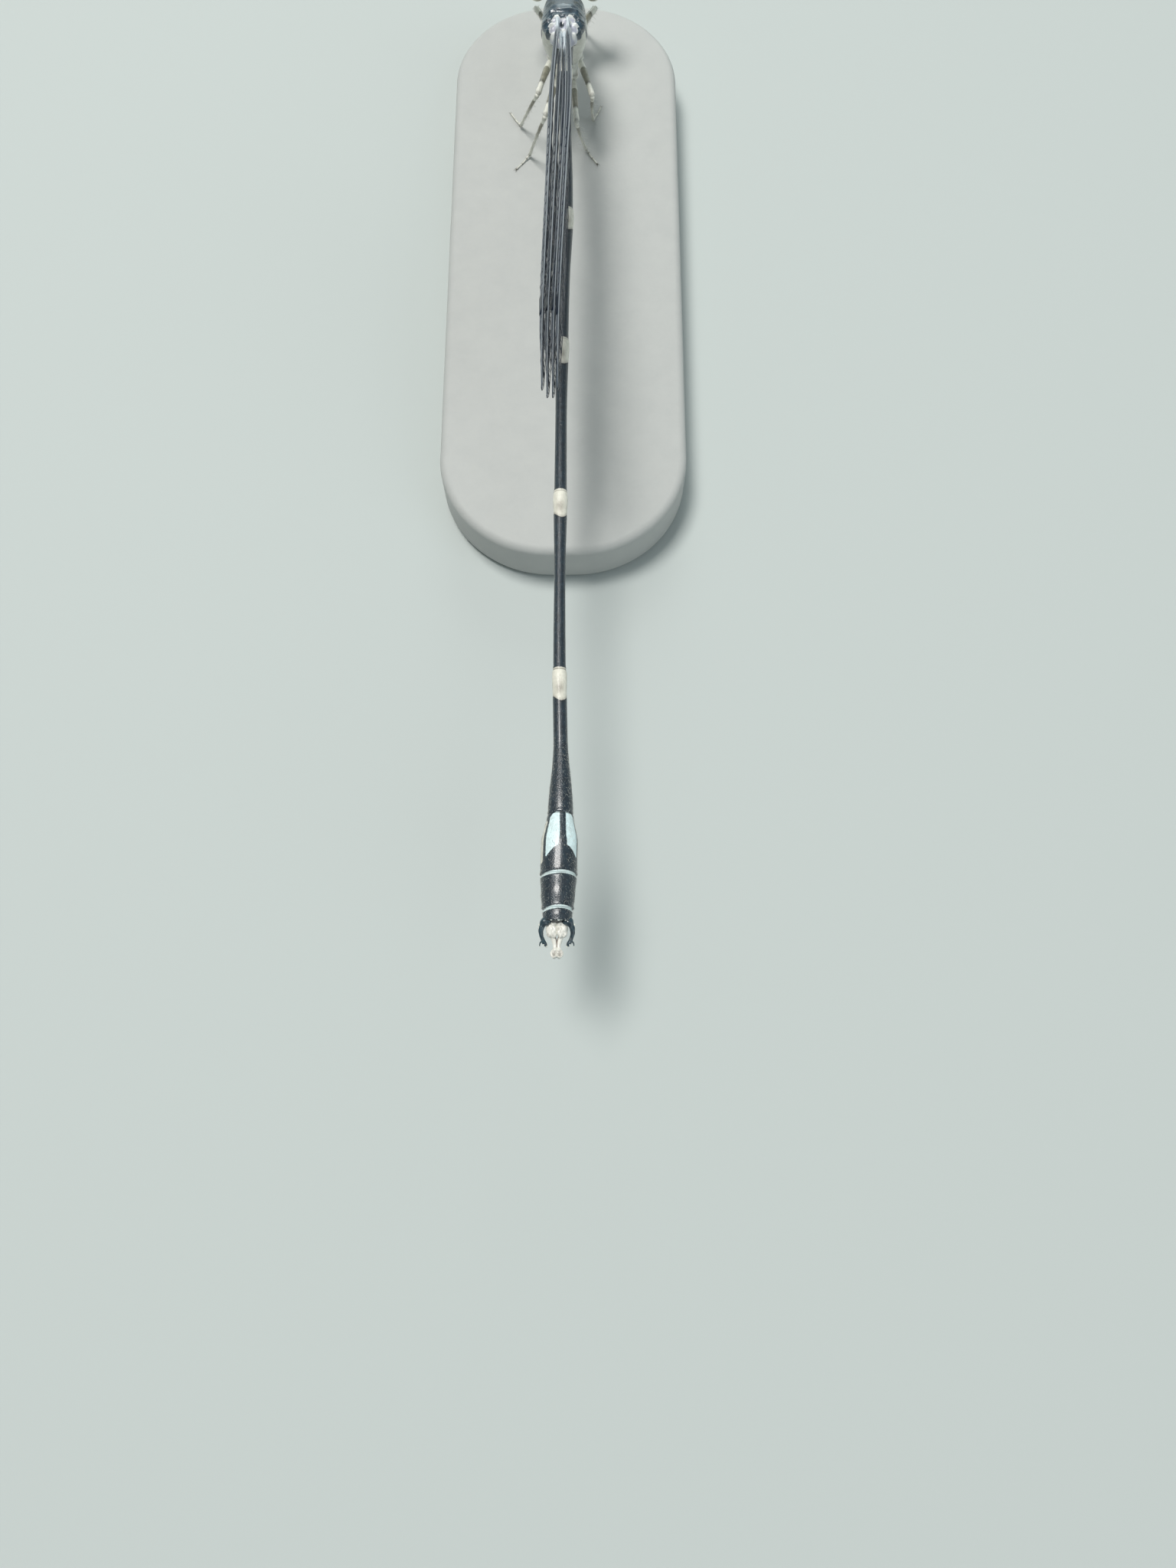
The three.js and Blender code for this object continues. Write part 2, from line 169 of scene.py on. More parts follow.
def bowed(a, b, t, bow=(0, 0, 0)):
    """Points from a to b at the shares t, bowed sideways by half a sine wave."""
    return a + (b - a) * t[:, None] + np.asarray(bow) * np.sin(np.pi * t)[:, None]


# Mesh building


def in_scene(name, data):
    """A new object of the scene, at its origin."""
    made = bpy.data.objects.new(name, data)
    bpy.context.scene.collection.objects.link(made)
    return made


class Shell:
    """Collects closed surfaces and makes one mesh of them."""

    def __init__(self):
        self.points, self.quads, self.tris, self.fields, self.count = [], [], [], [], 0

    def put(self, points, quads, tris, fields):
        """Adds one closed surface, turned outwards if its signed volume is below zero."""
        points = to_row(points)
        halves = np.concatenate([quads[:, [0, 1, 2]], quads[:, [0, 2, 3]], tris])
        a, b, c = (points[halves[:, k]] - points.mean(0) for k in range(3))
        if (a * np.cross(b, c)).sum() < 0:
            quads, tris = quads[:, ::-1], tris[:, ::-1]
        self.points.append(points)
        self.quads.append(quads + self.count)
        self.tris.append(tris + self.count)
        self.fields.append(fields)
        self.count += len(points)

    def grid(self, points, **fields):
        """Adds a tube of rows by columns by 3, closed round its columns and at its two ends.

        Each end closes on one point, the mean of its row. Fields are rows by columns too.
        """
        rows, columns, _ = points.shape
        ends = np.stack([points[0].mean(0), points[-1].mean(0)])
        index = np.arange(rows * columns).reshape(rows, columns)
        nxt = np.roll(index, -1, 1)
        quads = np.stack([index[:-1], nxt[:-1], nxt[1:], index[1:]], -1).reshape(-1, 4)
        low = np.stack([nxt[0], index[0], np.full(columns, rows * columns)], -1)
        high = np.stack([index[-1], nxt[-1], np.full(columns, rows * columns + 1)], -1)
        flat = {}
        for name, value in fields.items():
            value = np.broadcast_to(value, (rows, columns))
            flat[name] = np.concatenate([value.reshape(-1), [value[0].mean(), value[-1].mean()]])
        self.put(np.concatenate([points.reshape(-1, 3), ends]), quads, np.concatenate([low, high]), flat)

    def tube(self, path, radius, columns=10, flat=1.0, up=(0, 0, 1), **fields):
        """Adds a round tube along a path; flat is its height over its width, up its side of height.

        The radius and each field are one number, one for each step or one for each point.
        """
        path = np.asarray(path, float)
        ahead = unit(np.gradient(path, axis=0))
        side = unit(np.cross(np.broadcast_to(up, ahead.shape), ahead))
        ring = around(ahead, side, full_turn(columns), flat)

        def spread(value):
            """The value at each of the tube's points."""
            value = np.asarray(value, float)
            value = value[:, None] if value.ndim == 1 else value
            return np.broadcast_to(value, (len(path), columns))

        points = path[:, None] + ring * spread(radius)[..., None]
        self.grid(points, **{name: spread(value) for name, value in fields.items()})

    def make(self, name, material, uv=None):
        """The finished piece, riding on the root body; fields that a surface isn't given are 0."""
        quads, tris = np.concatenate(self.quads), np.concatenate(self.tris)
        mesh = bpy.data.meshes.new(name)
        mesh.from_pydata(np.concatenate(self.points), [], quads.tolist() + tris.tolist(), shade_flat=False)
        for label in sorted(set().union(*self.fields)):
            values = [np.broadcast_to(fields.get(label, 0.0), len(points))
                      for fields, points in zip(self.fields, self.points)]
            layer = mesh.attributes.new(label, "FLOAT", "POINT")
            layer.data.foreach_set("value", np.concatenate(values).astype(np.float32))
        if uv is not None:
            corners = np.concatenate([quads.ravel(), tris.ravel()])
            layer = mesh.uv_layers.new(name="OFBake")
            layer.data.foreach_set("uv", uv[corners].astype(np.float32).ravel())
        mesh.materials.append(material)
        piece = in_scene(name, mesh)
        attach(piece, "root")
        return piece


def ball(centre, halves, rows=24, columns=32):
    """Grid of an ellipsoid with its poles at its two sides; returns points and unit directions."""
    tilt = (np.arange(rows) + 0.5) / rows * np.pi
    tilt, turn = np.meshgrid(tilt, full_turn(columns), indexing="ij")
    way = np.stack([np.cos(tilt), np.sin(tilt) * np.cos(turn), np.sin(tilt) * np.sin(turn)], -1)
    return np.asarray(centre) + way * np.asarray(halves), way


# Materials: shared effects


def feed(tree, socket, value):
    """Gives a socket a plain number, a colour or the value of another socket."""
    if hasattr(value, "node"):
        tree.links.new(value, socket)
    else:
        socket.default_value = (*value, 1) if isinstance(value, tuple) else value


def node(tree, kind, inputs=None, **settings):
    """A node with its settings, and its inputs by name or number."""
    made = tree.nodes.new("ShaderNode" + kind)
    for key, value in settings.items():
        setattr(made, key, value)
    for key, value in (inputs or {}).items():
        feed(tree, made.inputs[key], value)
    return made


def texture(tree, kind, scale, inputs=None, **settings):
    """A texture over the piece's own place in space."""
    place = node(tree, "TexCoord").outputs["Object"]
    return node(tree, "Tex" + kind, {"Vector": place, "Scale": scale, **(inputs or {})}, **settings)


def field(tree, name):
    """A value that the mesh carries."""
    return node(tree, "Attribute", attribute_name=name).outputs["Fac"]


def mix(tree, factor, first, second, how="MIX"):
    """Two colours mixed by a factor, or the first multiplied by the second that far."""
    inputs = {0: factor, 6: first, 7: second}
    return node(tree, "Mix", inputs, data_type="RGBA", blend_type=how).outputs[2]


def span(tree, value, low, high):
    """A value from 0 to 1 drawn out to run from low to high."""
    return node(tree, "MapRange", {"Value": value, "To Min": low, "To Max": high}).outputs[0]


def calculate(tree, operation, *values):
    """One sum on plain numbers or sockets."""
    return node(tree, "Math", dict(enumerate(values)), operation=operation).outputs[0]


def new_group(name, inputs, outputs):
    """An empty node group of plain numbers, with its inlet's and outlet's sockets by name."""
    group = bpy.data.node_groups.new(name, "ShaderNodeTree")
    for label, value in inputs.items():
        socket = group.interface.new_socket(name=label, in_out="INPUT", socket_type="NodeSocketFloat")
        socket.default_value = value
    for label in outputs:
        group.interface.new_socket(name=label, in_out="OUTPUT", socket_type="NodeSocketFloat")
    return group, group.nodes.new("NodeGroupInput").outputs, group.nodes.new("NodeGroupOutput").inputs


def make_mask_group():
    """Turns a signed distance in mm into a mask with a ragged edge: 1 well inside, 0 outside."""
    inputs = {"Distance": 0.0, "Ragged": 0.03, "Softness": 0.02, "Scale": 12000.0}
    group, inlet, outlet = new_group("ragged_mask", inputs, ["Mask"])
    noise = texture(group, "Noise", inlet["Scale"], {"Detail": 3.0, "Roughness": 0.65})
    swing = calculate(group, "MULTIPLY", calculate(group, "SUBTRACT", noise.outputs[0], 0.5), inlet["Ragged"])
    moved = calculate(group, "ADD", inlet["Distance"], swing)
    share = calculate(group, "DIVIDE", moved, inlet["Softness"])
    level = node(group, "MapRange", {"Value": share, "From Min": -1.0, "From Max": 1.0},
                 interpolation_type="SMOOTHSTEP")
    feed(group, outlet["Mask"], level.outputs[0])
    return group


def make_grain_group():
    """Insect shell grain: pits and fine wrinkles as a height, and the patches they make as a value."""
    inputs = {"Pit Size": 22000.0, "Wave Size": 5000.0}
    group, inlet, outlet = new_group("shell_grain", inputs, ["Height", "Patches"])
    pits = texture(group, "Voronoi", inlet["Pit Size"], {"Randomness": 1.0}, feature="SMOOTH_F1")
    waves = texture(group, "Noise", inlet["Wave Size"], {"Detail": 4.0, "Roughness": 0.6})
    height = calculate(group, "MULTIPLY_ADD", waves.outputs[0], 0.6, pits.outputs["Distance"])
    feed(group, outlet["Height"], height)
    feed(group, outlet["Patches"], waves.outputs[0])
    return group


MASK = make_mask_group()
GRAIN = make_grain_group()


def new_material(name, **constants):
    """A material with one Principled shader and its constant socket values."""
    material = bpy.data.materials.new(name)
    material.use_nodes = True
    shader = material.node_tree.nodes["Principled BSDF"]
    for key, value in constants.items():
        shader.inputs[key.replace("_", " ")].default_value = value
    return material, material.node_tree, shader.inputs


def finish(tree, shader, colour, roughness, height=None, strength=0.0, distance=0.0, invert=False):
    """Feeds the shader its colour, its roughness and, where there is a height, its bumps."""
    feed(tree, shader["Base Color"], colour)
    feed(tree, shader["Roughness"], roughness)
    if height:
        inputs = {"Strength": strength, "Distance": distance, "Height": height}
        feed(tree, shader["Normal"], node(tree, "Bump", inputs, invert=invert).outputs[0])


SPECKLE = (0.62, 0.60, 0.58)
SEAM_SHADE = (0.25, 0.22, 0.2)


def shell_material(name, dark, sheen, pale, second=None, rough=(0.3, 0.42), pits=22000.0, strength=0.4,
                   ragged=0.05, softness=0.02):
    """Insect shell: a dark ground with bluish patches, and pale marks where the pale field is above 0.

    The tint field, 0 to 1, turns the pale marks towards the second colour, and the field of dark
    joints and painted shade darkens joints and furrows, and lays painted shade in hollows and valleys.
    """
    material, tree, shader = new_material(name, Specular_IOR_Level=0.6, Coat_Roughness=0.16, IOR=1.54)
    grain = node(tree, "Group", {"Pit Size": pits, "Wave Size": pits / 5}, node_tree=GRAIN).outputs
    edges = {"Distance": field(tree, "pale"), "Ragged": ragged, "Softness": softness}
    mask = node(tree, "Group", edges, node_tree=MASK).outputs[0]
    patches = grain["Patches"]
    ground = mix(tree, span(tree, patches, -0.6, 1.6), dark, sheen)
    marks = mix(tree, field(tree, "tint"), pale, second or pale)
    speckled = mix(tree, span(tree, patches, 0.9, -0.5), marks, SPECKLE, "MULTIPLY")
    colour = mix(tree, mask, ground, speckled)
    # Dark joints and painted shade darken the colour here.
    colour = mix(tree, field(tree, "seam"), colour, SEAM_SHADE, "MULTIPLY")
    feed(tree, shader["Coat Weight"], span(tree, mask, 0.5, 0.12))
    finish(tree, shader, colour, span(tree, patches, *rough), grain["Height"], strength, 0.00002)
    return material


# The sheen colour is painted sheen: bluish patches standing in for sky reflections on the dark shell.
ABDOMEN_SHELL = shell_material(
    "abdomen_shell", (0.005, 0.009, 0.016), (0.012, 0.03, 0.045), (0.80, 0.78, 0.68),
    second=(0.76, 0.93, 0.95), strength=0.75, pits=26000.0,
)
# The teal sheen colour is painted sheen; the violet-grey second colour is laid mostly as painted shade
# between the lumps by the wings.
THORAX_SHELL = shell_material(
    "thorax_shell", (0.006, 0.012, 0.022), (0.03, 0.075, 0.11), (0.82, 0.83, 0.76),
    second=(0.68, 0.72, 0.86), strength=0.5,
)
HEAD_SHELL = shell_material(
    "head_shell", (0.008, 0.012, 0.016), (0.02, 0.05, 0.06), (0.80, 0.80, 0.70), strength=0.35,
)
LEG_SHELL = shell_material(
    "leg_shell", (0.16, 0.15, 0.11), (0.30, 0.29, 0.22), (0.80, 0.80, 0.72), second=(0.05, 0.045, 0.04),
    rough=(0.38, 0.5), strength=0.3, ragged=0.2, softness=0.12,
)
CLASPER_DARK = shell_material(
    "clasper_dark", (0.006, 0.014, 0.022), (0.02, 0.06, 0.08), (0.80, 0.82, 0.74), strength=0.35,
)
CLASPER_PALE = shell_material(
    "clasper_pale", (0.20, 0.15, 0.12), (0.34, 0.30, 0.27), (0.84, 0.83, 0.76), strength=0.3, ragged=0.12,
)


def bristle_material():
    """Stiff hair, brown to white by its pale field."""
    material, tree, shader = new_material("bristle", Specular_IOR_Level=0.5)
    finish(tree, shader, mix(tree, field(tree, "pale"), (0.10, 0.09, 0.08), (0.75, 0.76, 0.70)), 0.4)
    return material


def eye_material():
    """Compound eye: olive inside and cream outside, facets as a fine bump, a dark rim behind."""
    material, tree, shader = new_material(
        "compound_eye", Specular_IOR_Level=0.6, Coat_Weight=0.6, Coat_Roughness=0.08)
    facets = texture(tree, "Voronoi", 36000.0, {"Randomness": 0.55}).outputs["Distance"]
    clouds = texture(tree, "Noise", 2600.0, {"Detail": 3.0}).outputs[0]
    edges = {"Distance": field(tree, "pale"), "Ragged": 0.25, "Softness": 0.10, "Scale": 2500.0}
    outer = node(tree, "Group", edges, node_tree=MASK).outputs[0]
    olive = mix(tree, clouds, (0.24, 0.21, 0.08), (0.42, 0.37, 0.20))
    cream = mix(tree, clouds, (0.74, 0.74, 0.56), (0.86, 0.86, 0.74))
    rimmed = mix(tree, field(tree, "seam"), mix(tree, outer, olive, cream), (0.03, 0.06, 0.02))
    dotted = mix(tree, span(tree, facets, 0.0, 0.7), rimmed, (0.45, 0.45, 0.4), "MULTIPLY")
    finish(tree, shader, dotted, 0.22, facets, 0.5, 0.00001, invert=True)
    return material


def vein_material():
    """Wing vein, navy black to bluish white by its pale field."""
    material, tree, shader = new_material(
        "wing_vein", Specular_IOR_Level=0.4, Coat_Weight=0.15, Coat_Roughness=0.2)
    noise = texture(tree, "Noise", 3000.0, {"Detail": 4.0}).outputs[0]
    dark = mix(tree, noise, (0.004, 0.008, 0.018), (0.014, 0.024, 0.042))
    edge = mix(tree, field(tree, "pale"), dark, (0.72, 0.78, 0.82))
    finish(tree, shader, edge, span(tree, noise, 0.25, 0.45))
    return material


def membrane_material():
    """Thin clear film with a dark navy tint of painted shade, waved a little."""
    material, tree, shader = new_material(
        "wing_membrane", Alpha=0.15, Specular_IOR_Level=0.9, IOR=1.5, Coat_Weight=0.5, Coat_Roughness=0.1)
    noise = texture(tree, "Noise", 1400.0, {"Detail": 3.0}).outputs[0]
    # Painted shade: the dark navy tint stands in for the darkness between the closed wings.
    tint = mix(tree, noise, (0.012, 0.03, 0.075), (0.05, 0.09, 0.17))
    finish(tree, shader, tint, span(tree, noise, 0.14, 0.3), noise, 0.35, 0.00002)
    return material


def stand_material():
    """Pale grey plaster with soft clouds and a fine grain."""
    material, tree, shader = new_material("stand_plaster", Specular_IOR_Level=0.35)
    clouds = texture(tree, "Noise", 900.0, {"Detail": 6.0, "Roughness": 0.7}).outputs[0]
    fine = texture(tree, "Noise", 9000.0, {"Detail": 3.0}).outputs[0]
    grey = mix(tree, clouds, (0.42, 0.43, 0.42), (0.50, 0.51, 0.49))
    finish(tree, shader, grey, span(tree, clouds, 0.5, 0.7), fine, 0.2, 0.00003)
    return material


BRISTLE = bristle_material()
EYE = eye_material()
VEIN = vein_material()
MEMBRANE = membrane_material()
STAND = stand_material()

# Bristles

# Each bristle's seven points on its patch of the OFBake map
PATCH = np.array([[0, 0], [1, 0], [0.5, 1], [0.25, 0.3], [0.75, 0.3], [0.5, 0.8], [0.5, 0.5]]) * 0.003


def bristles(name, roots, ways, lengths, widths, uv, pale=1.0, bend=0.25, lie=(0, 1, 0)):
    """Thin curved spikes: a ring of three points at the root, one ring half way and a tip.

    The upper part bends towards lie. Each spike's patch on the OFBake map is a small triangle
    at its root's place.
    """
    count = len(roots)
    ways = unit(np.asarray(ways, float))
    lie = np.broadcast_to(np.asarray(lie, float), ways.shape)
    side = unit(np.cross(ways, lie + 1e-3 * np.array([0.3, 0.2, 1.0])))
    ring = around(ways, side, full_turn(3))
    lengths = np.broadcast_to(lengths, count)[:, None]
    widths = np.broadcast_to(widths, count)[:, None, None]
    middle = roots + ways * lengths * 0.55 + lie * lengths * bend * 0.25
    tip = roots + ways * lengths + lie * lengths * bend
    low = (roots - ways * lengths * 0.08)[:, None] + ring * widths / 2
    mid = middle[:, None] + ring * widths * 0.33
    points = np.concatenate([low, mid, tip[:, None]], 1)
    first = np.arange(count)[:, None, None] * len(PATCH)
    quads = np.array([[0, 1, 4, 3], [1, 2, 5, 4], [2, 0, 3, 5]])[None] + first
    tris = np.array([[0, 2, 1], [3, 4, 6], [4, 5, 6], [5, 3, 6]])[None] + first
    pale = np.repeat(np.broadcast_to(pale, (count,)), len(PATCH))
    shell = Shell()
    shell.put(points.reshape(-1, 3), quads.reshape(-1, 4), tris.reshape(-1, 3), {"pale": pale})
    places = (np.clip(uv, 0.002, 0.995)[:, None] + PATCH[None]).reshape(-1, 2)
    return shell.make(name, BRISTLE, uv=places)


# Abdomen

RING_LENGTHS = {2: 0.5, 3: 1.2, 4: 1.3, 5: 1.25, 6: 1.35}  # pale rings at the feet of segments 3 to 7
# Steps along each segment, in millimetres
SEGMENT_STEPS = np.array([0.03, 0.035, 0.06, 0.06, 0.06, 0.06, 0.05, 0.025, 0.025, 0.02])
# Pale teeth on the last segment's rear edge, as (angle from the middle of the back, size)
TEETH = ((-0.62, 0.9), (-0.3, 0.6), (-0.05, 1.2), (0.16, 0.7), (0.5, 0.8))


def abdomen_line(back):
    """Centre of the abdomen: two slight bows to the right, and a rise towards its foot."""
    x = 0.2 * bump(back, 10.5, 5.5) + 0.11 * bump(back, 40, 4)
    z = BASE_RISE * (1 - smooth(back, ABDOMEN_START, ABDOMEN_START + RISE_LENGTH))
    return x, z


def abdomen_radius(back):
    """Half width: eased through each segment's three widths, pinched in at each joint.

    Each segment's rear edge flares a little over the next one's neck, and the pale foot of
    segments three to seven swells.
    """
    radius = np.zeros_like(back)
    last = len(SEGMENTS) - 1
    for i, (length, (front, waist, rear)) in enumerate(SEGMENTS):
        start, end = JOINTS[i], JOINTS[i + 1]
        inside = (back >= start) & ((back < end) | (i == last))
        stops = [(start, front / 2), (start + length / 2, waist / 2), (end, rear / 2)]
        radius = np.where(inside, eased(stops, back), radius)
        if i < last:
            radius = radius + (0.024 if i > 6 else 0.012) * bump(back, end - 0.05, 0.06)
        if i in RING_LENGTHS:
            radius = radius + 0.022 * bump(back, start + 0.45, 0.38)
    for joint in JOINTS[1:-1]:
        radius = radius - 0.05 * bump(back, joint + 0.035, 0.035)
    return radius


def abdomen_surface(back, turn):
    """Point and outward way at a distance back and an angle from the middle of the back.

    A round section, a little lower than wide, with a low keel on the back of the last segments,
    a groove along the underside between the two edges of each back plate, and a swelling under
    the second segment.
    """
    x, z = abdomen_line(back)
    below = np.abs(np.pi - np.abs(turn))
    groove = 0.05 * bump(below, 0.42, 0.10) * smooth(back, 3, 6)
    keel = 0.018 * bump(turn, 0, 0.16) * smooth(back, 38, 42)
    swelling = 0.22 * bump(back, 2.0, 0.42) * bump(below, 0, 0.5)
    radius = abdomen_radius(back) - groove + keel + swelling
    sway = turn + ROLL * smooth(back, 3, 10)
    way = np.stack([np.sin(sway), np.zeros_like(sway), 0.97 * np.cos(sway)], -1)
    return np.stack([x, back, z], -1) + way * radius[..., None], way


def abdomen_marks(back, turn):
    """Signed distance into the pale marks, their tint, and the darkness of the joints together with the
    painted shade on the rings.

    Segments three to seven have a pale ring at their foot, longest on the sides; from the fourth on,
    painted shade darkens a greyish patch on the ring and a band along its rear edge. Segment eight has
    two large patches either side of a dark stripe, and a rounded streak below. Thin arched rings lie on
    the joints before and behind segment nine.
    """
    side = np.abs(turn)
    radius = abdomen_radius(back)
    pale = np.full_like(back, -1.0)
    shade = np.zeros_like(back)
    for i, length in RING_LENGTHS.items():
        reach = length + 0.12 * np.cos(2 * turn) + 0.4 * (i == 2) * smooth(side, 0.5, 1.4)
        pale = np.maximum(pale, np.minimum(back - JOINTS[i] + 0.02, JOINTS[i] + reach - back))
        if i > 2:
            # Painted shade on the ring: a greyish patch here, and a dark band along its rear edge below.
            hollow = 1.3 * bump(back, JOINTS[i] + 0.68 * length, 0.26) * bump(turn, -0.25, 0.6)
            shade = np.maximum.reduce([shade, bump(back, JOINTS[i] + reach, 0.10), hollow])

    start = JOINTS[7]
    rear = start + 1.42 + 0.55 * smooth(side, 0.2, 1.3)
    front = start + 0.02 + 0.34 * smooth(side, 0.55, 1.35)
    stripe = 0.125 + 0.05 * smooth(back, start + 0.9, start + 1.4)
    patch = np.minimum.reduce([side * radius - stripe, rear - back, back - front, (1.02 - side) * radius])
    past_ends = np.maximum(np.abs(back - start - 1.2) - 0.75, 0)
    streak = 0.13 - np.hypot(past_ends, (side - 1.45) * radius)

    saddle = np.minimum.reduce([back - JOINTS[1], JOINTS[2] - 0.06 - back, (0.55 - side) * radius])
    flank = 0.20 - np.hypot((back - JOINTS[1] - 0.72) * 0.38, (side - 1.85) * radius)
    pale = np.maximum.reduce([pale, patch, streak, saddle, flank])
    tint = np.where(patch > -0.03, 1.0, 0.0)
    for joint in JOINTS[8:10]:
        arch = joint - 0.02 + 0.10 * smooth(side, 0, 1.5)
        line = np.where(side < 2.2, 0.055 - np.abs(back - arch), -1)
        pale = np.maximum(pale, line)
        tint = np.where(line > -0.02, 0.8, tint)

    brown = (saddle > -0.05) * (1 - smooth(back, 1.8, 2.1))
    # The brown saddle darkens the colour, and so does the painted shade on the rings.
    seam = np.maximum(0.55 * brown, 0.5 * shade)
    for i, joint in enumerate(JOINTS[1:-1]):
        seam = np.maximum(seam, bump(back, joint + 0.045, 0.022) * (0.2 if i in (7, 8) else 0.9))
    return pale, tint, seam


def make_abdomen():
    """Abdomen skin, and short hair leaning back.

    The skin is the surface over all segments, an end wall and five teeth, each an ellipsoid.
    """
    steps = np.diff(JOINTS) / SEGMENT_STEPS
    backs = [np.linspace(a, b, max(12, int(n)), endpoint=False) for a, b, n in zip(JOINTS, JOINTS[1:], steps)]
    backs = np.concatenate([[ABDOMEN_START - 0.25], *backs, [ABDOMEN_END]])
    back, turn = np.meshgrid(backs, full_turn(72) - np.pi, indexing="ij")
    points, _ = abdomen_surface(back, turn)
    pale, tint, seam = abdomen_marks(back, turn)
    shell = Shell()
    shell.grid(points, pale=pale, tint=tint, seam=seam)
    wall, _ = ball((0, ABDOMEN_END - 0.04, -0.05), (0.46, 0.11, 0.42), 24, 40)
    shell.grid(wall, pale=-0.5)
    for turn, size in TEETH:
        place = (0.52 * np.sin(turn + ROLL), ABDOMEN_END - 0.01, 0.49 * np.cos(turn + ROLL))
        tooth, _ = ball(place, np.array([0.055, 0.05, 0.02]) * size, 14, 18)
        shell.grid(tooth, pale=0.3, tint=0.5, seam=0.1)
    piece = shell.make("abdomen_skin", ABDOMEN_SHELL)
    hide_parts(*[f"abdomen_s{i:02d}" for i in range(1, 11)])

    everywhere, at_rear = 2700, 2500
    count = everywhere + at_rear
    end = ABDOMEN_END - 0.05
    back = np.concatenate([rng.uniform(2.8, end, everywhere), rng.uniform(JOINTS[6] + 3, end, at_rear)])
    turn = rng.uniform(-np.pi, np.pi, count)
    roots, ways = abdomen_surface(back, turn)
    rear = smooth(back, JOINTS[6] + 2, JOINTS[7])
    length = (0.035 + 0.035 * rear) * rng.uniform(0.6, 1.3, count)
    ways = ways + np.array([0, 1.2, 0]) + rng.normal(0, 0.15, (count, 3))
    uv = np.stack([(back - ABDOMEN_START) / (ABDOMEN_END - ABDOMEN_START), turn / TAU + 0.5], -1)
    hairs = bristles("abdomen_bristles", roots, ways, length, 0.008, uv, pale=rng.uniform(0.4, 1, count))


# Thorax

# Half width, top and underside at each distance back
THORAX = {
    "width": [(-2.4, 0.62), (-1.2, 1.12), (0.1, 1.2), (1.0, 1.1), (2.3, 0.5)],
    "top": [(-2.4, 0.5), (-0.9, 1.35), (0.4, 1.82), (1.6, 1.7), (2.3, 1.3)],
    "under": [(-2.4, -1.35), (-1.2, -1.95), (0.2, -1.8), (1.15, 0.8), (2.3, 0.95)],
}
PROTHORAX = {
    "width": [(-3.3, 0.36), (-2.95, 0.66), (-2.4, 0.6)],
    "top": [(-3.3, 0.05), (-2.9, 0.36), (-2.4, 0.3)],
    "under": [(-3.3, -0.75), (-2.9, -1.2), (-2.4, -1.3)],
}
WALL_ROWS, WALL_COLUMNS = 170, 150
RIDGE_BACK = 0.62  # the ridge across the back, just before the wings
PIT = (-0.07, 1.42)  # the dark hollow between the wings, as (x, back)
# Lumps between and beside the wings, as (x, back, size, height)
LUMPS = [
    (0.0, 0.95, 0.13, 0.10), (0.27, 1.02, 0.12, 0.12), (0.52, 0.98, 0.13, 0.13), (0.78, 1.15, 0.12, 0.10),
    (0.30, 1.38, 0.11, 0.13), (0.58, 1.45, 0.12, 0.13), (0.80, 1.65, 0.12, 0.10), (0.0, 1.85, 0.13, 0.13),
    (0.28, 1.75, 0.11, 0.10), (0.52, 1.92, 0.12, 0.13), (0.20, 2.12, 0.10, 0.09), (0.66, 0.62, 0.12, 0.08),
]


def slices(front, rear, profile, power, rows, columns):
    """Upright slices, each a rounder square, drawn in at the two ends of the row.

    Half width, top and underside come from the profile at each slice's distance back. Returns
    the points, their outward ways and their angles.
    """
    t = np.linspace(0, 1, rows)
    back = front + (rear - front) * (t - 0.5 * np.sin(TAU * t) / TAU * 0.6)
    back, turn = np.meshgrid(back, full_turn(columns), indexing="ij")
    close = np.sqrt(np.clip(1 - (2 * t - 1) ** 14, 0.02, 1))[:, None]
    half = eased(profile["width"], back) * close
    high, low = eased(profile["top"], back), eased(profile["under"], back)
    cos, sin = squarish(np.cos(turn), power), squarish(np.sin(turn), power)
    tall = (high - low) / 2
    z = (high + low) / 2 + tall * sin * close
    way = unit(np.stack([cos / np.maximum(half, 0.1), 0 * z, sin / np.maximum(tall, 0.1)], -1))
    return np.stack([half * cos, back, z], -1), way, turn


def thorax_lumps(x, back, z):
    """Height of the rounded lumps between and beside the wings, each a bell over its own place."""
    lumps = np.zeros_like(x)
    for cx, cb, size, height in LUMPS:
        lumps = lumps + height * np.exp(-((np.abs(x) - cx) ** 2 + (back - cb) ** 2) / size**2)
    return lumps * smooth(z, 0.8, 1.1)


def thorax_relief(p):
    """Height added to the thorax wall: keel of the back, ridge and lumps by the wings, side seams."""
    x, back, z = p[..., 0], p[..., 1], p[..., 2]
    upper = smooth(z, 0.2, 0.7)
    keel = 0.06 * bump(x, 0, 0.05) * smooth(back, -2.4, -1.8) * (1 - smooth(back, 0.0, 0.3)) * upper
    ridge = 0.09 * bump(back, RIDGE_BACK - 0.15 * np.abs(x), 0.08) * upper * bump(x, 0, 0.75)
    slant = back - 0.47 * z
    seams = bump(slant, -0.75, 0.05) + 0.6 * bump(slant, -0.12, 0.045) + bump(slant, 0.40, 0.05)
    seams = 0.055 * seams * smooth(np.abs(x), 0.45, 0.8)
    pit = 0.09 * bump(x, PIT[0], 0.10) * bump(back, PIT[1], 0.2) * smooth(z, 0.9, 1.2)
    return keel + ridge - seams + thorax_lumps(x, back, z) - pit


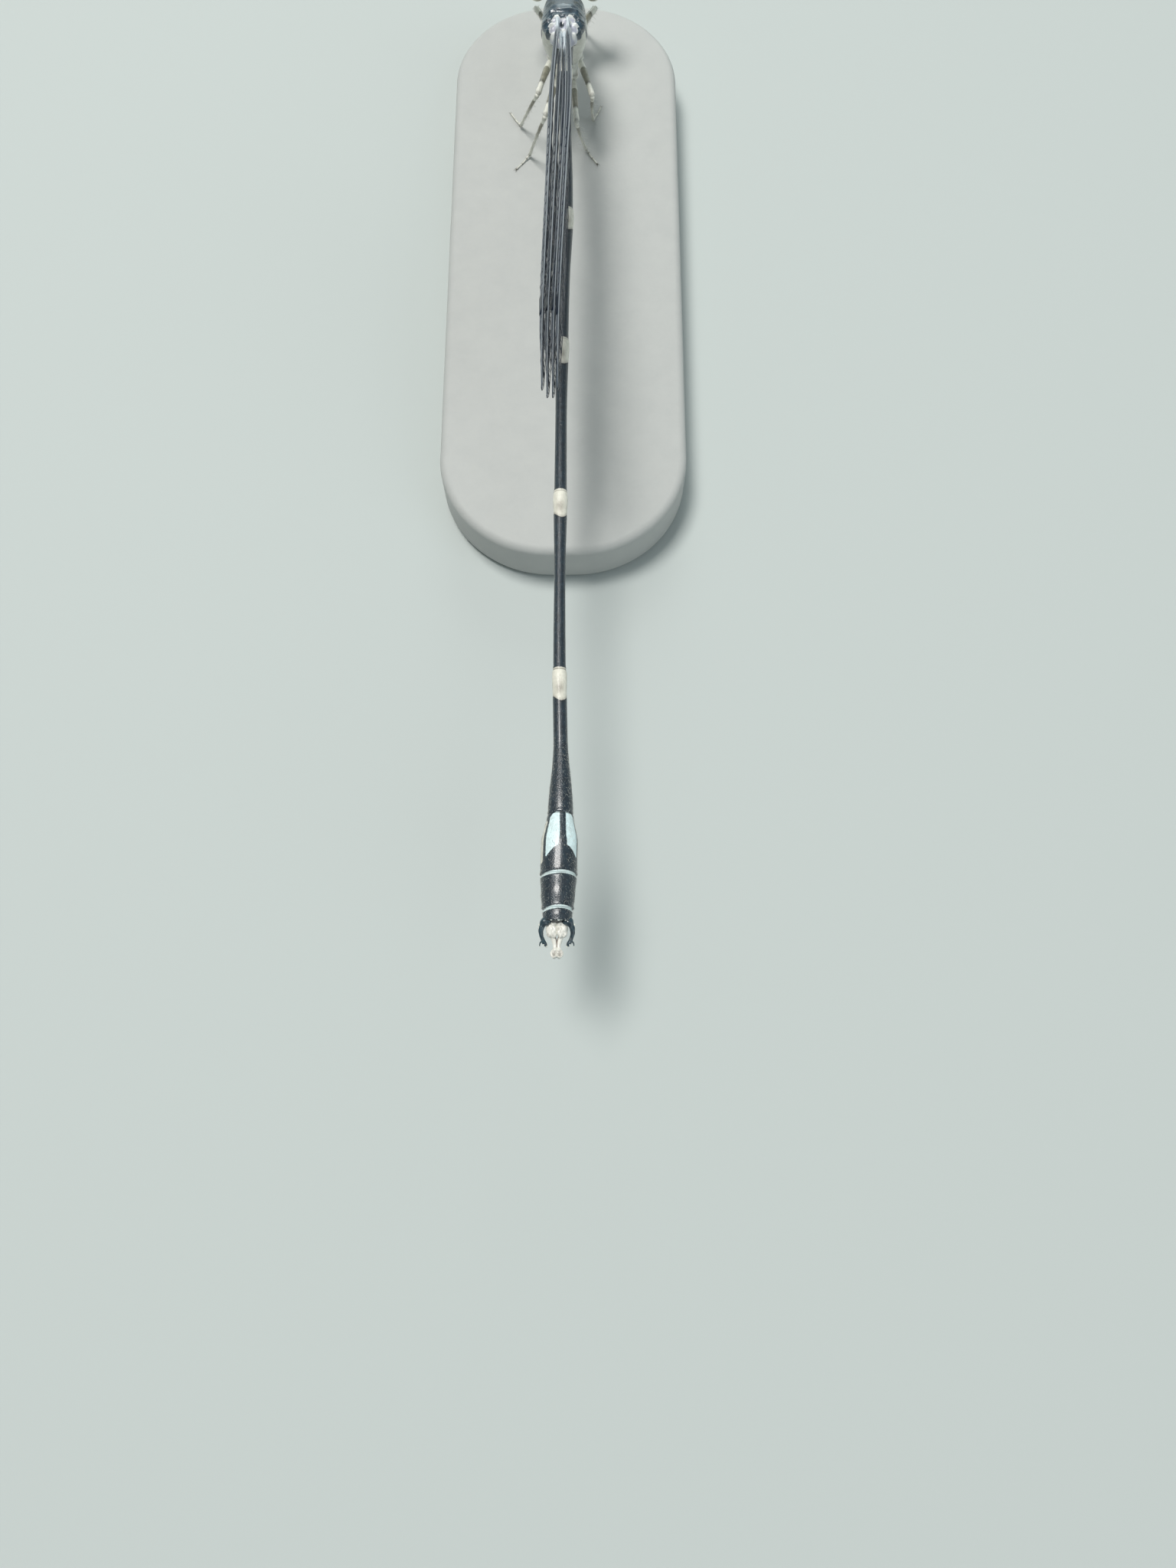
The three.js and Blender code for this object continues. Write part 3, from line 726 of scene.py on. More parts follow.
def thorax_marks(p):
    """Pale fields: two slanted side stripes, powder between the wings, the underside and the rear.

    Painted shade lies in the valleys between the lumps, turning the powder violet-grey and darker.
    """
    x, back, z = p[..., 0], p[..., 1], p[..., 2]
    side = np.abs(x)
    slant = back - 0.47 * z
    flank = side - 0.5
    first = np.minimum(0.27 - np.hypot(slant + 0.10, np.maximum(z - 0.6, 0) * 0.8), flank)
    second = np.minimum(0.27 - np.hypot(slant - 0.74, np.maximum(z - 0.80, 0) * 0.8), flank)
    low = np.minimum(-1.05 - z - 0.25 * bump(back, -0.3, 0.25), back + 2.1)
    rear = np.minimum.reduce([slant - 0.74, 0.5 - z, 0.95 - side - 0.1 * np.sin(4 * z)])
    edge = 0.60 + 0.10 * smooth(back, 1.2, 1.6) + 0.06 * np.sin(9 * back + 1) + 0.04 * np.sin(23 * back)
    between = np.minimum.reduce([z - 1.05, back - 1.04 - 0.08 * np.sin(14 * side), edge - side])
    hollow = np.hypot((x - PIT[0]) / 0.5, back - PIT[1]) - 0.2
    pale = np.maximum.reduce([first, second, low, rear, np.minimum(between, hollow)])
    inside = smooth(between, -0.05, 0.1)
    # Painted shade in the valleys between the lumps: it tints the powder violet-grey and darkens it.
    valley_shade = 1 - smooth(thorax_lumps(x, back, z), 0.015, 0.075)
    slit = np.clip(bump(slant, -0.75, 0.035) + bump(slant, 0.40, 0.035), 0, 1)
    seam = slit * smooth(side, 0.5, 0.8) * 0.8 + 0.5 * inside * valley_shade
    return pale, inside * (0.25 + 0.75 * valley_shade), np.clip(seam, 0, 1)


def thorax_wall():
    """Points and outward ways of the thorax wall: slices drawn in towards the underside, plus relief."""
    points, way, _ = slices(-2.4, 2.3, THORAX, 2.5, WALL_ROWS, WALL_COLUMNS)
    points[..., 0] *= 1 - 0.18 * smooth(-points[..., 2], -0.3, 1.2)
    return points + way * (thorax_relief(points) - 0.02)[..., None], way


def make_thorax():
    """Thorax wall, prothorax with its collar and saddle, rippled neck, six tapered leg roots, hair."""
    shell = Shell()
    points, way = thorax_wall()
    pale, tint, seam = thorax_marks(points)
    shell.grid(points, pale=pale, tint=tint, seam=seam)

    collared, outward, turn = slices(-3.3, -2.25, PROTHORAX, 2.2, 60, 80)
    back, up = collared[..., 1], np.sin(turn)
    collar = 0.07 * bump(back, -2.55, 0.08) * smooth(up, 0.1, 0.8) + 0.05 * bump(back, -3.15, 0.07)
    saddle = -0.06 * bump(back, -2.75, 0.09) * smooth(up, 0, 0.6)
    flank = 0.5 * (0.5 - np.abs(up - 0.15))
    pale = np.maximum(flank, 0.09 - np.abs(back + 2.5))
    shell.grid(collared + outward * (collar + saddle)[..., None], pale=pale, tint=0.15)

    t = np.linspace(0, 1, 10)
    neck = np.stack([0 * t, -3.75 + 0.7 * t, -0.42 + 0.05 * t], -1)
    shell.tube(neck, 0.26 + 0.03 * np.sin(t * 20), 24, pale=0.03)
    t = np.linspace(0, 1, 16)
    radius = 0.34 - 0.10 * t + 0.02 * np.sin(t * 9) - 0.16 * smooth(t, 0.86, 1.05)
    for joints in LEGS.values():
        path = bowed(np.array(joints[0]), np.array(joints[1]), t)
        shell.tube(path, radius, 20, pale=0.2, seam=0.6 * bump(t, 0.72, 0.06))
    piece = shell.make("thorax_skin", THORAX_SHELL)
    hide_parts("thorax", "prothorax", *[f"{leg}_coxa" for leg in LEGS])

    count = 1100
    rows, columns = rng.integers(8, 150, count), rng.integers(0, WALL_COLUMNS, count)
    upper = way[rows, columns, 2] > -0.6
    rows, columns = rows[upper], columns[upper]
    roots, ways = points[rows, columns], way[rows, columns]
    ways = ways + np.array([0, 0.5, 0.1]) + rng.normal(0, 0.25, ways.shape)
    uv = np.stack([rows / WALL_ROWS, columns / WALL_COLUMNS], -1)
    length = rng.uniform(0.05, 0.12, len(roots))
    hairs = bristles("thorax_bristles", roots, ways, length, 0.008, uv, pale=0.8)


# Head


def head_capsule(shell):
    """Rear and top of the head: an ellipsoid hollowed behind, with a rim, a crown and a brow."""
    points, way = ball(HEAD, HEAD_HALVES, 90, 100)
    x, back, z = (points[..., k] - HEAD[k] for k in range(3))
    hollow = -0.16 * bump(x, 0, 0.75) * bump(z, -0.05, 0.42) * smooth(back, 0.1, 0.6)
    rim = 0.05 * bump(np.hypot(x / 1.15, z / 0.72), 0.86, 0.07) * smooth(back, 0.0, 0.3)
    crown = 0.06 * bump(x, 0, 0.3) * bump(back, -0.1, 0.28) * smooth(z, 0.3, 0.7)
    brow = 0.10 * bump(z, 0.22, 0.16) * bump(x, 0, 0.6) * smooth(-back, 0.2, 0.5)
    scoop = -0.06 * bump(np.abs(x), 0.55, 0.12) * bump(z, 0.35, 0.2) * smooth(-back, 0.1, 0.4)
    cheek = np.minimum(-0.30 - z, 0.1 - back)
    spots = 0.1 - np.hypot(np.abs(x) - 0.62, z - 0.62)
    relief = hollow + rim + crown + brow + scoop
    shell.grid(points + way * relief[..., None], pale=np.maximum(cheek, spots))


def face_plate(shell, place, halves, pale, seam=0.0, rows=34, columns=44):
    """One plate of the face, an ellipsoid at a place measured from the middle of the head.

    Pale and seam are numbers, or functions of the distances across and down from its middle.
    """
    points, _ = ball(HEAD + np.array(place), halves, rows, columns)
    across, down = points[..., 0] - HEAD[0] - place[0], HEAD[2] + place[2] - points[..., 2]
    pale = pale(across, down) if callable(pale) else pale
    seam = seam(across, down) if callable(seam) else seam
    shell.grid(points, pale=pale, seam=seam)


def face(shell):
    """Forehead, snout, lips, chin, jaws, cheeks, palps, feeler sockets and the three ocelli."""
    face_plate(shell, (0, -0.50, 0.20), (0.76, 0.22, 0.22), -0.5)
    face_plate(shell, (0, -0.66, -0.12), (0.56, 0.30, 0.21), -0.5)
    face_plate(shell, (0, -0.68, -0.35), (0.49, 0.25, 0.11), 0.3,
               lambda x, z: 0.4 * smooth(np.abs(z), 0.06, 0.11))
    face_plate(shell, (0, -0.63, -0.62), (0.50, 0.22, 0.26), lambda x, z: 0.17 - z + 0.1 * bump(x, 0, 0.1),
               lambda x, z: 0.5 * smooth(-z, 0.16, 0.26))
    face_plate(shell, (0, -0.38, -0.92), (0.40, 0.36, 0.27), 0.2, lambda x, z: 0.25 + 0.6 * bump(x, 0, 0.03))
    for side in (-1, 1):
        face_plate(shell, (side * 0.50, -0.44, -0.58), (0.19, 0.26, 0.34), lambda x, z: 0.27 - z)
        face_plate(shell, (side * 0.72, -0.25, -0.40), (0.20, 0.30, 0.30), 0.2,
                   lambda x, z: 0.5 * smooth(z, 0.1, 0.3))
        face_plate(shell, (side * 0.22, -0.46, -0.98), (0.18, 0.28, 0.17), 0.2, 0.35)
        face_plate(shell, (side * 0.50, -0.55, 0.42), (0.12, 0.12, 0.12), -0.5, 0.0, 14, 20)
    for place in ((0, -0.42, 0.71), (-0.2, -0.16, 0.83), (0.2, -0.16, 0.83)):
        face_plate(shell, place, (0.065, 0.06, 0.055), 0.3, 0.6, 14, 20)


def make_head():
    """Head capsule and face, the eyes, the feelers and hair.

    An eye is an ellipsoid. A feeler is a tube along a bowed line: two thick joints and a bristle.
    """
    shell = Shell()
    head_capsule(shell)
    face(shell)
    piece = shell.make("head_skin", HEAD_SHELL)
    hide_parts("head", "face")

    for label, side in SIDES:
        eye = Shell()
        points, way = ball((side * EYE_X, HEAD[1], HEAD[2]), EYE_RADII, 70, 90)
        outward = way[..., 0] * side
        rim = smooth(way[..., 1], 0.72, 0.9) * smooth(outward, -0.9, 0.1)
        eye.grid(points, pale=(outward - 0.05 - 0.4 * way[..., 2]) * 0.8, seam=rim)
        piece = eye.make(f"eye_{label}_visual", EYE)
        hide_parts(f"eye_{label}")

        feeler = Shell()
        root = HEAD + [side * 0.52, -0.6, 0.42]
        end = HEAD + [side * 1.05, -1.75, 1.4]
        t = np.linspace(0, 1, 60)
        radius = eased([(0, 0.075), (0.12, 0.075), (0.16, 0.055), (0.34, 0.05), (0.38, 0.026), (1, 0.008)], t)
        radius = radius + 0.006 * bump(t, 0.14, 0.01) - 0.012 * bump(t, 0.36, 0.015)
        feeler.tube(bowed(root, end, t, (0, -0.16, 0)), radius, 14, pale=0.05 - np.abs(t - 0.2))
        piece = feeler.make(f"antenna_{label}_visual", HEAD_SHELL)
        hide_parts(f"antenna_{label}")

    count = 420
    way = unit(rng.normal(0, 1, (count * 3, 3)))
    way = way[(np.abs(way[:, 0]) < 0.6) & (way[:, 1] < 0.5)][:count]
    roots = HEAD + way * HEAD_HALVES * 0.99
    uv = np.stack([np.arctan2(way[:, 1], way[:, 0]) / TAU + 0.5, way[:, 2] * 0.5 + 0.5], -1)
    length = rng.uniform(0.08, 0.16, len(roots))
    hairs = bristles("head_bristles", roots, way + [0, -0.3, 0.1], length, 0.010, uv,
                     pale=rng.uniform(0.4, 1, len(roots)), lie=(0, -1, 0))


# Legs

FOOT_JOINTS = [0, 0.24, 0.58, 1.0]  # shares of the foot
ANKLE_Z, TOE_Z = FLOOR_Z + 0.16, FLOOR_Z + 0.055


def leg_joints(joints):
    """Root of the thigh, knee, ankle and toe of a leg, the foot laid on the top of the base."""
    _, root, knee, ankle, toe = (np.array(j, float) for j in joints)
    return root, knee, np.append(ankle, ANKLE_Z), np.append(toe, TOE_Z)


def make_leg(name, joints):
    """One leg: tubes for the thigh, the shin and the foot's three joints, and two curved claws.

    The thigh bows up and the shin outwards, each by half a sine wave.
    """
    root, knee, ankle, toe = leg_joints(joints)
    shell = Shell()
    t = np.linspace(0, 1, 46)
    path = bowed(root, knee, t, (0, 0, 0.10))
    thick = eased([(0, 0.12), (0.05, 0.165), (0.3, 0.175), (0.8, 0.13), (0.93, 0.15), (1.0, 0.10)], t)
    thick = thick - 0.035 * bump(t, 0.075, 0.02)
    pale = eased([(0, 0.3), (0.28, 0.3), (0.36, -0.3), (0.68, -0.3), (0.74, 0.3), (1, 0.3)], t)
    dark = 0.9 * bump(t, 0.70, 0.035) + 0.5 * bump(t, 0.985, 0.02)
    seam = 0.4 * bump(t, 0.075, 0.02) + 0.5 * bump(t, 0.7, 0.03)
    shell.tube(path, thick, 22, flat=1.15, pale=pale, tint=dark, seam=seam)

    t = np.linspace(0, 1, 44)
    outward = unit(np.cross(ankle - knee, [0, 0, 1.0]) + 1e-6)
    path = bowed(knee, ankle, t, 0.06 * outward)
    thick = eased([(0, 0.105), (0.05, 0.12), (0.14, 0.085), (0.8, 0.07), (1, 0.085)], t)
    pale = eased([(0, 0.3), (0.1, 0.3), (0.16, -0.12), (0.62, 0.06), (1, 0.1)], t)
    seam = 0.5 * bump(t, 0.03, 0.02) + 0.6 * bump(t, 0.99, 0.02)
    shell.tube(path, thick, 18, up=(0, 1, 0), pale=pale, seam=seam)

    t = np.linspace(0, 1, 16)
    for a, b in zip(FOOT_JOINTS, FOOT_JOINTS[1:]):
        share = a + (b - a) * t
        path = bowed(ankle, toe, share)
        path[:, 2] = ANKLE_Z + (TOE_Z - ANKLE_Z) * smooth(share, 0, 0.5)
        thick = (0.044 if a == 0 else 0.036) + 0.014 * t**3 - 0.008 * bump(t, 0, 0.15)
        shell.tube(path, thick, 14, pale=0.05, tint=0.35 * bump(t, 1.0, 0.12), seam=0.6 * bump(t, 1.0, 0.08))

    t = np.linspace(0, 1, 12)
    heading = unit(toe - ankle)
    across = unit(np.cross(heading, [0, 0, 1.0]))
    for side in (-1, 1):
        claw = toe + heading * 0.13 * t[:, None] + across * side * 0.07 * np.sqrt(t)[:, None]
        claw[:, 2] = TOE_Z - 0.005 + 0.03 * np.sin(np.pi * t) - 0.035 * t**2
        shell.tube(claw, 0.016 * (1 - 0.8 * t), 8, pale=-0.3, tint=0.6, seam=0.4)
    piece = shell.make(f"{name}_skin", LEG_SHELL)
    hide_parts(*[f"{name}_{part}" for part in ("femur", "tibia", "tarsus")])


def leg_bristles():
    """Long spines in two rows down each shin and along the outer thigh, with short hair between."""
    roots, ways, lengths, widths, uv = [], [], [], [], []

    def row(a, b, radius, count, reach, away, strip, low, high, width):
        """A row of spines from a towards b, standing off the leg at the angle away."""
        share = np.linspace(low, high, count) + rng.normal(0, 0.01, count)
        axis = unit(b - a)
        side = unit(np.cross(axis, [0.1, 0.2, 1.0]))
        out = around(axis, side, away + rng.normal(0, 0.1, count))
        roots.append(bowed(a, b, share) + out * radius * 0.8)
        ways.append(out + axis * 0.75 + rng.normal(0, 0.05, (count, 3)))
        lengths.append(reach * rng.uniform(0.8, 1.15, count))
        widths.append(np.full(count, width))
        uv.append(np.stack([share, np.full(count, strip)], -1))

    for k, joints in enumerate(LEGS.values()):
        root, knee, ankle, toe = leg_joints(joints)
        strip = (k + 0.5) / len(LEGS)
        for away, count in ((-0.6, 6), (0.6, 6), (2.54, 5), (3.74, 5)):
            row(knee, ankle, 0.08, count, 0.34, away, strip, 0.15, 0.93, 0.022)
        for away in (-0.5, 3.64):
            row(root, knee, 0.15, 7, 0.22, away, strip + 0.03, 0.3, 0.95, 0.02)
        for away in np.arange(9) * 0.7:
            row(root, knee, 0.16, 22, 0.09, away, strip + 0.05, 0.04, 0.98, 0.010)
            row(knee, ankle, 0.08, 20, 0.075, away, strip - 0.05, 0.04, 0.98, 0.009)
        for away in (0.3, 1.5, 2.8):
            row(ankle, toe, 0.04, 9, 0.07, away, strip - 0.03, 0.1, 0.95, 0.009)
    hairs = bristles("leg_bristles", *(np.concatenate(v) for v in (roots, ways, lengths, widths, uv)),
                     pale=0.75, bend=0.1, lie=(0, 0, -0.5))


# Claspers

# Points as (share, x, distance behind the abdomen's end, z), for the right side
OUTER_ARM = [(0, 0.34, -0.06, 0.14), (0.2, 0.50, 0.08, 0.16), (0.45, 0.61, 0.36, 0.12),
             (0.75, 0.54, 0.70, 0.02), (1, 0.38, 0.98, -0.05)]
OUTER_RADII = [(0, 0.20), (0.15, 0.18), (0.34, 0.105), (0.7, 0.075), (0.88, 0.085), (1, 0.03)]
SPUR = [(0, 0.52, 0.72, 0.02), (0.5, 0.64, 0.82, -0.04), (1, 0.66, 0.98, -0.10)]
KNOBS = ((0.66, 0.15, 0.12, 0.055), (0.69, 0.27, 0.05, 0.035), (0.50, 0.90, 0.02, 0.03))  # last, its size
INNER_ARM = [(0, 0.17, -0.05, -0.12), (0.2, 0.24, 0.28, -0.02), (0.42, 0.16, 0.54, -0.10),
             (0.6, 0.08, 0.80, -0.14), (0.8, 0.075, 1.06, -0.12), (0.92, 0.115, 1.26, -0.06),
             (1, 0.065, 1.38, -0.02)]
INNER_RADII = [(0, 0.13), (0.2, 0.19), (0.34, 0.17), (0.48, 0.105), (0.76, 0.08), (0.9, 0.14), (1, 0.09)]
# Lobes at the foot of the inner arm, as (x, back, z, half width, half length)
LOBES = ((0.13, 0.34, 0.02, 0.15, 0.30), (0.28, 0.44, -0.02, 0.13, 0.17), (0.17, 0.10, 0.04, 0.17, 0.12))


def clasper_path(stops, side, t):
    """Cubic path through a clasper's stops, on one side of the abdomen's end."""
    return curve(stops, t) * [side, 1, 1] + [0, ABDOMEN_END, 0]


def outer_clasper(side):
    """A dark arm, a rippled tube on a cubic path and thickest at its foot, with a spur and three knobs."""
    shell = Shell()
    t = np.linspace(0, 1, 60)
    ripple = 1 + 0.07 * np.sin(t * 31)[:, None] * np.sin(np.arange(26) * 0.9)[None]
    thick = eased(OUTER_RADII, t)[:, None] * ripple
    shell.tube(clasper_path(OUTER_ARM, side, t), thick, 26, flat=0.85, pale=t - 0.96)
    t = t[::3]
    shell.tube(clasper_path(SPUR, side, t), 0.045 * (1 - 0.75 * t), 14, pale=t - 0.85)
    for x, back, z, size in KNOBS:
        knob, _ = ball((side * x, ABDOMEN_END + back, z), (size, size * 1.1, size), 14, 18)
        shell.grid(knob, pale=0.2, seam=0.1)
    return shell


def inner_clasper(side):
    """A pale arm, a tube on a cubic path: lumpy foot, slim middle, end clubbed and cupped above.

    Three dented ellipsoids make its lobed foot.
    """
    shell = Shell()
    t = np.linspace(0, 1, 60)
    turn = full_turn(36)
    top = smooth(np.sin(turn), 0.1, 0.9)[None]
    cup = (smooth(t, 0.80, 0.90) * (1 - smooth(t, 0.95, 1.0)))[:, None] * top
    ripple = 1 + 0.09 * (np.sin(t * 37) * (1 - smooth(t, 0.4, 0.6)))[:, None] * np.sin(turn * 4)[None]
    outer = smooth(side * np.cos(turn), 0.2, 0.8)[None]
    waist = (bump(t, 0.40, 0.06) + 0.8 * smooth(t, 0.42, 0.5) * (1 - smooth(t, 0.72, 0.8)))[:, None]
    thick = eased(INNER_RADII, t)[:, None] * ripple * (1 - 0.75 * cup)
    # Painted shade darkens the inside of the cup; the dark ring at the waist is the arm's own.
    seam = np.clip(0.7 * cup + 0.3 * bump(t, 0.4, 0.03)[:, None], 0, 1)
    path = clasper_path(INNER_ARM, side, t)
    shell.tube(path, thick, 36, pale=0.25 - 0.45 * waist * outer, seam=seam)
    for x, back, z, wide, long in LOBES:
        lobe, way = ball((side * x, ABDOMEN_END + back, z), (wide, long, 0.14), 30, 40)
        lumps = 0.02 * np.sin(23 * lobe[..., 1] + 9 * x) * np.sin(31 * lobe[..., 0])
        # Painted shade darkens the dips between the lumps.
        shell.grid(lobe + way * lumps[..., None], pale=0.25, seam=0.35 * smooth(-lumps, 0.005, 0.02))
    return shell


def make_claspers():
    """The dark outer pair and the pale inner pair of claspers."""
    for label, side in SIDES:
        piece = outer_clasper(side).make(f"cercus_{label}_visual", CLASPER_DARK)
        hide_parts(f"cercus_{label}")
        piece = inner_clasper(side).make(f"paraproct_{label}_visual", CLASPER_PALE)
        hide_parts(f"paraproct_{label}")


# Wings

# Outline as shares of the span and millimetres above the base line
LEADING = [(0, -0.10), (0.04, -0.06), (0.09, 0.15), (0.38, 0.27), (0.8, 0.15), (0.9, -0.2), (0.965, -0.72),
           (1, -1.62)]
TRAILING = [(0, -0.38), (0.16, -0.48), (0.28, -1.02), (0.45, -3.0), (0.66, -4.1), (0.8, -3.85), (0.93, -3.05),
            (1, -1.72)]
# Veins as (share of the span, share of the chord) stops
VEINS = {
    "costa": [(0, 0), (1, 0)],
    "subcosta": [(0.0, 0.28), (0.12, 0.20), (0.3, 0.10), (0.37, 0.0)],
    "radius": [(0, 0.42), (0.12, 0.34), (0.3, 0.19), (0.5, 0.1), (0.75, 0.085), (0.9, 0.1), (0.975, 0.22)],
    "first": [(0.2, 0.36), (0.36, 0.24), (0.5, 0.165), (0.7, 0.17), (0.85, 0.24), (0.985, 0.55)],
    "between_one": [(0.66, 0.21), (0.78, 0.27), (0.96, 0.66)],
    "second": [(0.52, 0.19), (0.65, 0.26), (0.8, 0.37), (0.94, 0.80)],
    "between_two": [(0.36, 0.27), (0.5, 0.34), (0.7, 0.46), (0.89, 0.97)],
    "third": [(0.32, 0.34), (0.5, 0.48), (0.66, 0.62), (0.82, 0.985)],
    "middle": [(0.2, 0.5), (0.34, 0.55), (0.5, 0.67), (0.74, 0.99)],
    "fourth": [(0.12, 0.64), (0.24, 0.70), (0.36, 0.78), (0.56, 0.99)],
    "hind": [(0.0, 0.66), (0.12, 0.66), (0.2, 0.84), (0.3, 0.99)],
    "trailing": [(0, 1), (1, 1)],
}
# Rows of cross veins as (upper vein, lower vein, first share, last share, count)
CROSS_ROWS = [
    ("costa", "radius", 0.115, 0.185, 2), ("costa", "radius", 0.40, 0.85, 17),
    ("costa", "radius", 0.925, 0.965, 3), ("radius", "first", 0.385, 0.955, 22),
    ("first", "second", 0.55, 0.92, 16), ("first", "between_one", 0.69, 0.94, 10),
    ("between_one", "second", 0.69, 0.93, 10), ("second", "between_two", 0.54, 0.90, 16),
    ("between_two", "third", 0.38, 0.84, 17), ("third", "middle", 0.33, 0.76, 16),
    ("middle", "fourth", 0.2, 0.56, 11), ("fourth", "trailing", 0.22, 0.52, 9),
    ("first", "between_two", 0.38, 0.51, 5), ("radius", "middle", 0.2, 0.31, 2),
    ("middle", "trailing", 0.56, 0.72, 7), ("third", "trailing", 0.76, 0.81, 3),
    ("between_two", "trailing", 0.84, 0.88, 3), ("second", "trailing", 0.89, 0.93, 3),
]
# Pale plates at the wing's root, as (share of the span past the root, size, share of the chord)
ROOT_PLATES = ((0.0, 0.10, 0.5), (0.010, 0.08, 0.9), (0.022, 0.065, 0.35), (0.034, 0.05, 0.7))
ACROSS = (1.0, 0.0, 0.0)
FILM_HALF, STIGMA_HALF = 0.006, 0.036  # half thicknesses
STIGMA_LENGTH, TIP = 0.036, 0.998  # shares of the span
LONG_RADII = {"radius": 0.032, "subcosta": 0.032}  # the two thicker long veins
OTHER_RADIUS, CROSS_RADIUS = 0.024, 0.012


def wing_place(wing, side, share, chord, lift=0.0):
    """A point of a wing: share along the span, chord from the leading to the trailing edge.

    The sheet is folded into low pleats along the span, and lift moves off the sheet. It slopes up
    towards its tip and sways with the others to the animal's left.
    """
    share, chord = np.broadcast_arrays(np.asarray(share, float), np.asarray(chord, float))
    lead, trail = curve(LEADING, share), curve(TRAILING, share)
    along = share * wing["length"]
    up = lead + (trail - lead) * chord
    folds = 1.5 + 2.5 * smooth(share, 0.18, 0.5)
    height = 0.085 * smooth(share, 0.03, 0.12) * (1 - 0.7 * smooth(share, 0.8, 1.0))
    pleat = height * np.cos(chord * TAU * folds) * np.exp(-0.5 * chord)
    across = curve(WING_SWAY, share) + side * wing["place"] * curve(WING_SPREAD, share) + pleat + lift
    back = along * np.cos(WING_SLOPE) - up * np.sin(WING_SLOPE)
    high = along * np.sin(WING_SLOPE) + up * np.cos(WING_SLOPE)
    return np.stack([across, wing["back"] + back, wing["z"] + high], -1)


def two_faced(low, high, count, lift):
    """Chord shares down one face of a thin sheet and up the other, with the lift of each."""
    down = np.linspace(low, high, count)
    return np.concatenate([down, down[::-1]]), np.repeat([lift, -lift], count)


def paler(share, pale):
    """Paleness of a vein: white at the wing's root, then the given level, which on the costa and radius is a
    painted highlight.
    """
    return pale + (1 - pale) * (1 - smooth(share, 0.065, 0.105))


def make_wing(name, wing, side):
    """One wing: a thin film, and a piece of its edges, veins, stigma and dented root plates.

    Film and stigma are sheets with two faces. Veins are tubes along the folds of the film.
    """
    root = wing["root"]
    film = Shell()
    chord, lift = two_faced(0.004, 0.996, 56, FILM_HALF)
    film.grid(wing_place(wing, side, np.linspace(root, 0.999, 110)[:, None], chord[None], lift[None]))
    piece = film.make(f"{name}_membrane", MEMBRANE)
    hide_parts(name)

    veins = Shell()
    t = np.linspace(root, TIP, 130)
    edge = curve([(0, 0.030), (0.3, 0.030), (0.8, 0.026), (1, 0.018)], t)
    # Beyond the root, the costa's paleness is a painted highlight along the leading edge.
    veins.tube(wing_place(wing, side, t, 0.0), edge, 8, up=ACROSS, pale=paler(t, 0.27))
    veins.tube(wing_place(wing, side, t, 1.0), 0.026 - 0.012 * t, 8, up=ACROSS, pale=paler(t, 0.02))
    veins.tube(wing_place(wing, side, TIP, np.linspace(0, 1, 12)), 0.016, 8, up=ACROSS, pale=0.12)
    for label in list(VEINS)[1:-1]:
        stops = VEINS[label]
        share = np.linspace(max(stops[0][0], root), stops[-1][0], 60)
        thick = LONG_RADII.get(label, OTHER_RADIUS) * (1 - 0.5 * share) + 0.004
        path = wing_place(wing, side, share, curve(stops, share))
        # Beyond the root, the radius's paleness is a painted highlight.
        veins.tube(path, thick, 8, up=ACROSS, pale=paler(share, 0.17 if label == "radius" else 0.0))
    for upper, lower, first, last, count in CROSS_ROWS:
        for share in np.linspace(first, last, count):
            at = np.linspace(share, share + 0.003, 4)
            a, b = curve(VEINS[upper], at[0]), curve(VEINS[lower], at[-1])
            if b - a < 0.01:
                continue
            path = wing_place(wing, side, at, np.linspace(a, b, 4))
            veins.tube(path, CROSS_RADIUS, 6, up=(0, 1, 0.3), pale=0.0)
    chord, lift = two_faced(0.006, 0.093, 8, STIGMA_HALF)
    share = wing["stigma"] + np.linspace(0, STIGMA_LENGTH, 14)[:, None] + chord[None] * 0.08
    veins.grid(wing_place(wing, side, share, chord[None], lift[None]), pale=0.0)
    for past, size, chord in ROOT_PLATES:
        place = wing_place(wing, side, root + past, chord)
        plate, way = ball(place, (size, size * 2.2, size * 1.3), 20, 26)
        dents = 0.012 * np.sin(37 * plate[..., 1]) * np.sin(41 * plate[..., 2])
        veins.grid(plate + way * dents[..., None], pale=1.0)
    piece = veins.make(f"{name}_veins", VEIN)


# Stand and setting

CORNER, EDGE, COVER = 5.4, 0.4, 3.0  # of the base: corner radius, edge rounding, inset of its two faces


def make_stand():
    """A slab with round corners: the outline is drawn in along a rounded edge profile."""
    low, high = (np.array(v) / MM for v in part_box("stand_base"))
    inner = (high - low)[:2] / 2 - CORNER
    turn = full_turn(160)
    out = np.stack([np.cos(turn), np.sin(turn)], -1)
    core = np.sign(np.round(out, 6)) * inner
    angle = np.linspace(0, np.pi / 2, 7)
    rising, falling = EDGE * (1 - np.sin(angle)), EDGE * (1 - np.cos(angle))
    inset = np.concatenate([[COVER], rising, falling, [COVER]])
    level = np.concatenate([[0], falling, high[2] - rising, [high[2]]])
    xy = core[None] + out[None] * (CORNER - inset)[:, None, None]
    z = np.broadcast_to(level[:, None], xy.shape[:2])
    shell = Shell()
    shell.grid(np.stack([xy[..., 0], BASE_BACK - xy[..., 1], z - AXIS_Z], -1))
    piece = shell.make("stand_base_visual", STAND)
    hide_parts("stand_base")


# Soft lights, in metres, watts and linear colour
LIGHTS = (
    ("key", (-0.10, 0.06, 0.40), 0.14, 1.5, (1.0, 0.98, 0.95)),
    ("fill", (0.30, -0.20, 0.30), 0.30, 0.4, (0.85, 0.95, 1.0)),
    ("rim", (0.0, 0.40, 0.16), 0.20, 0.4, (0.9, 1.0, 0.97)),
)
LIT_PLACE = np.array([0, -0.01, 0.006])
FLOOR_HALF = 3.0


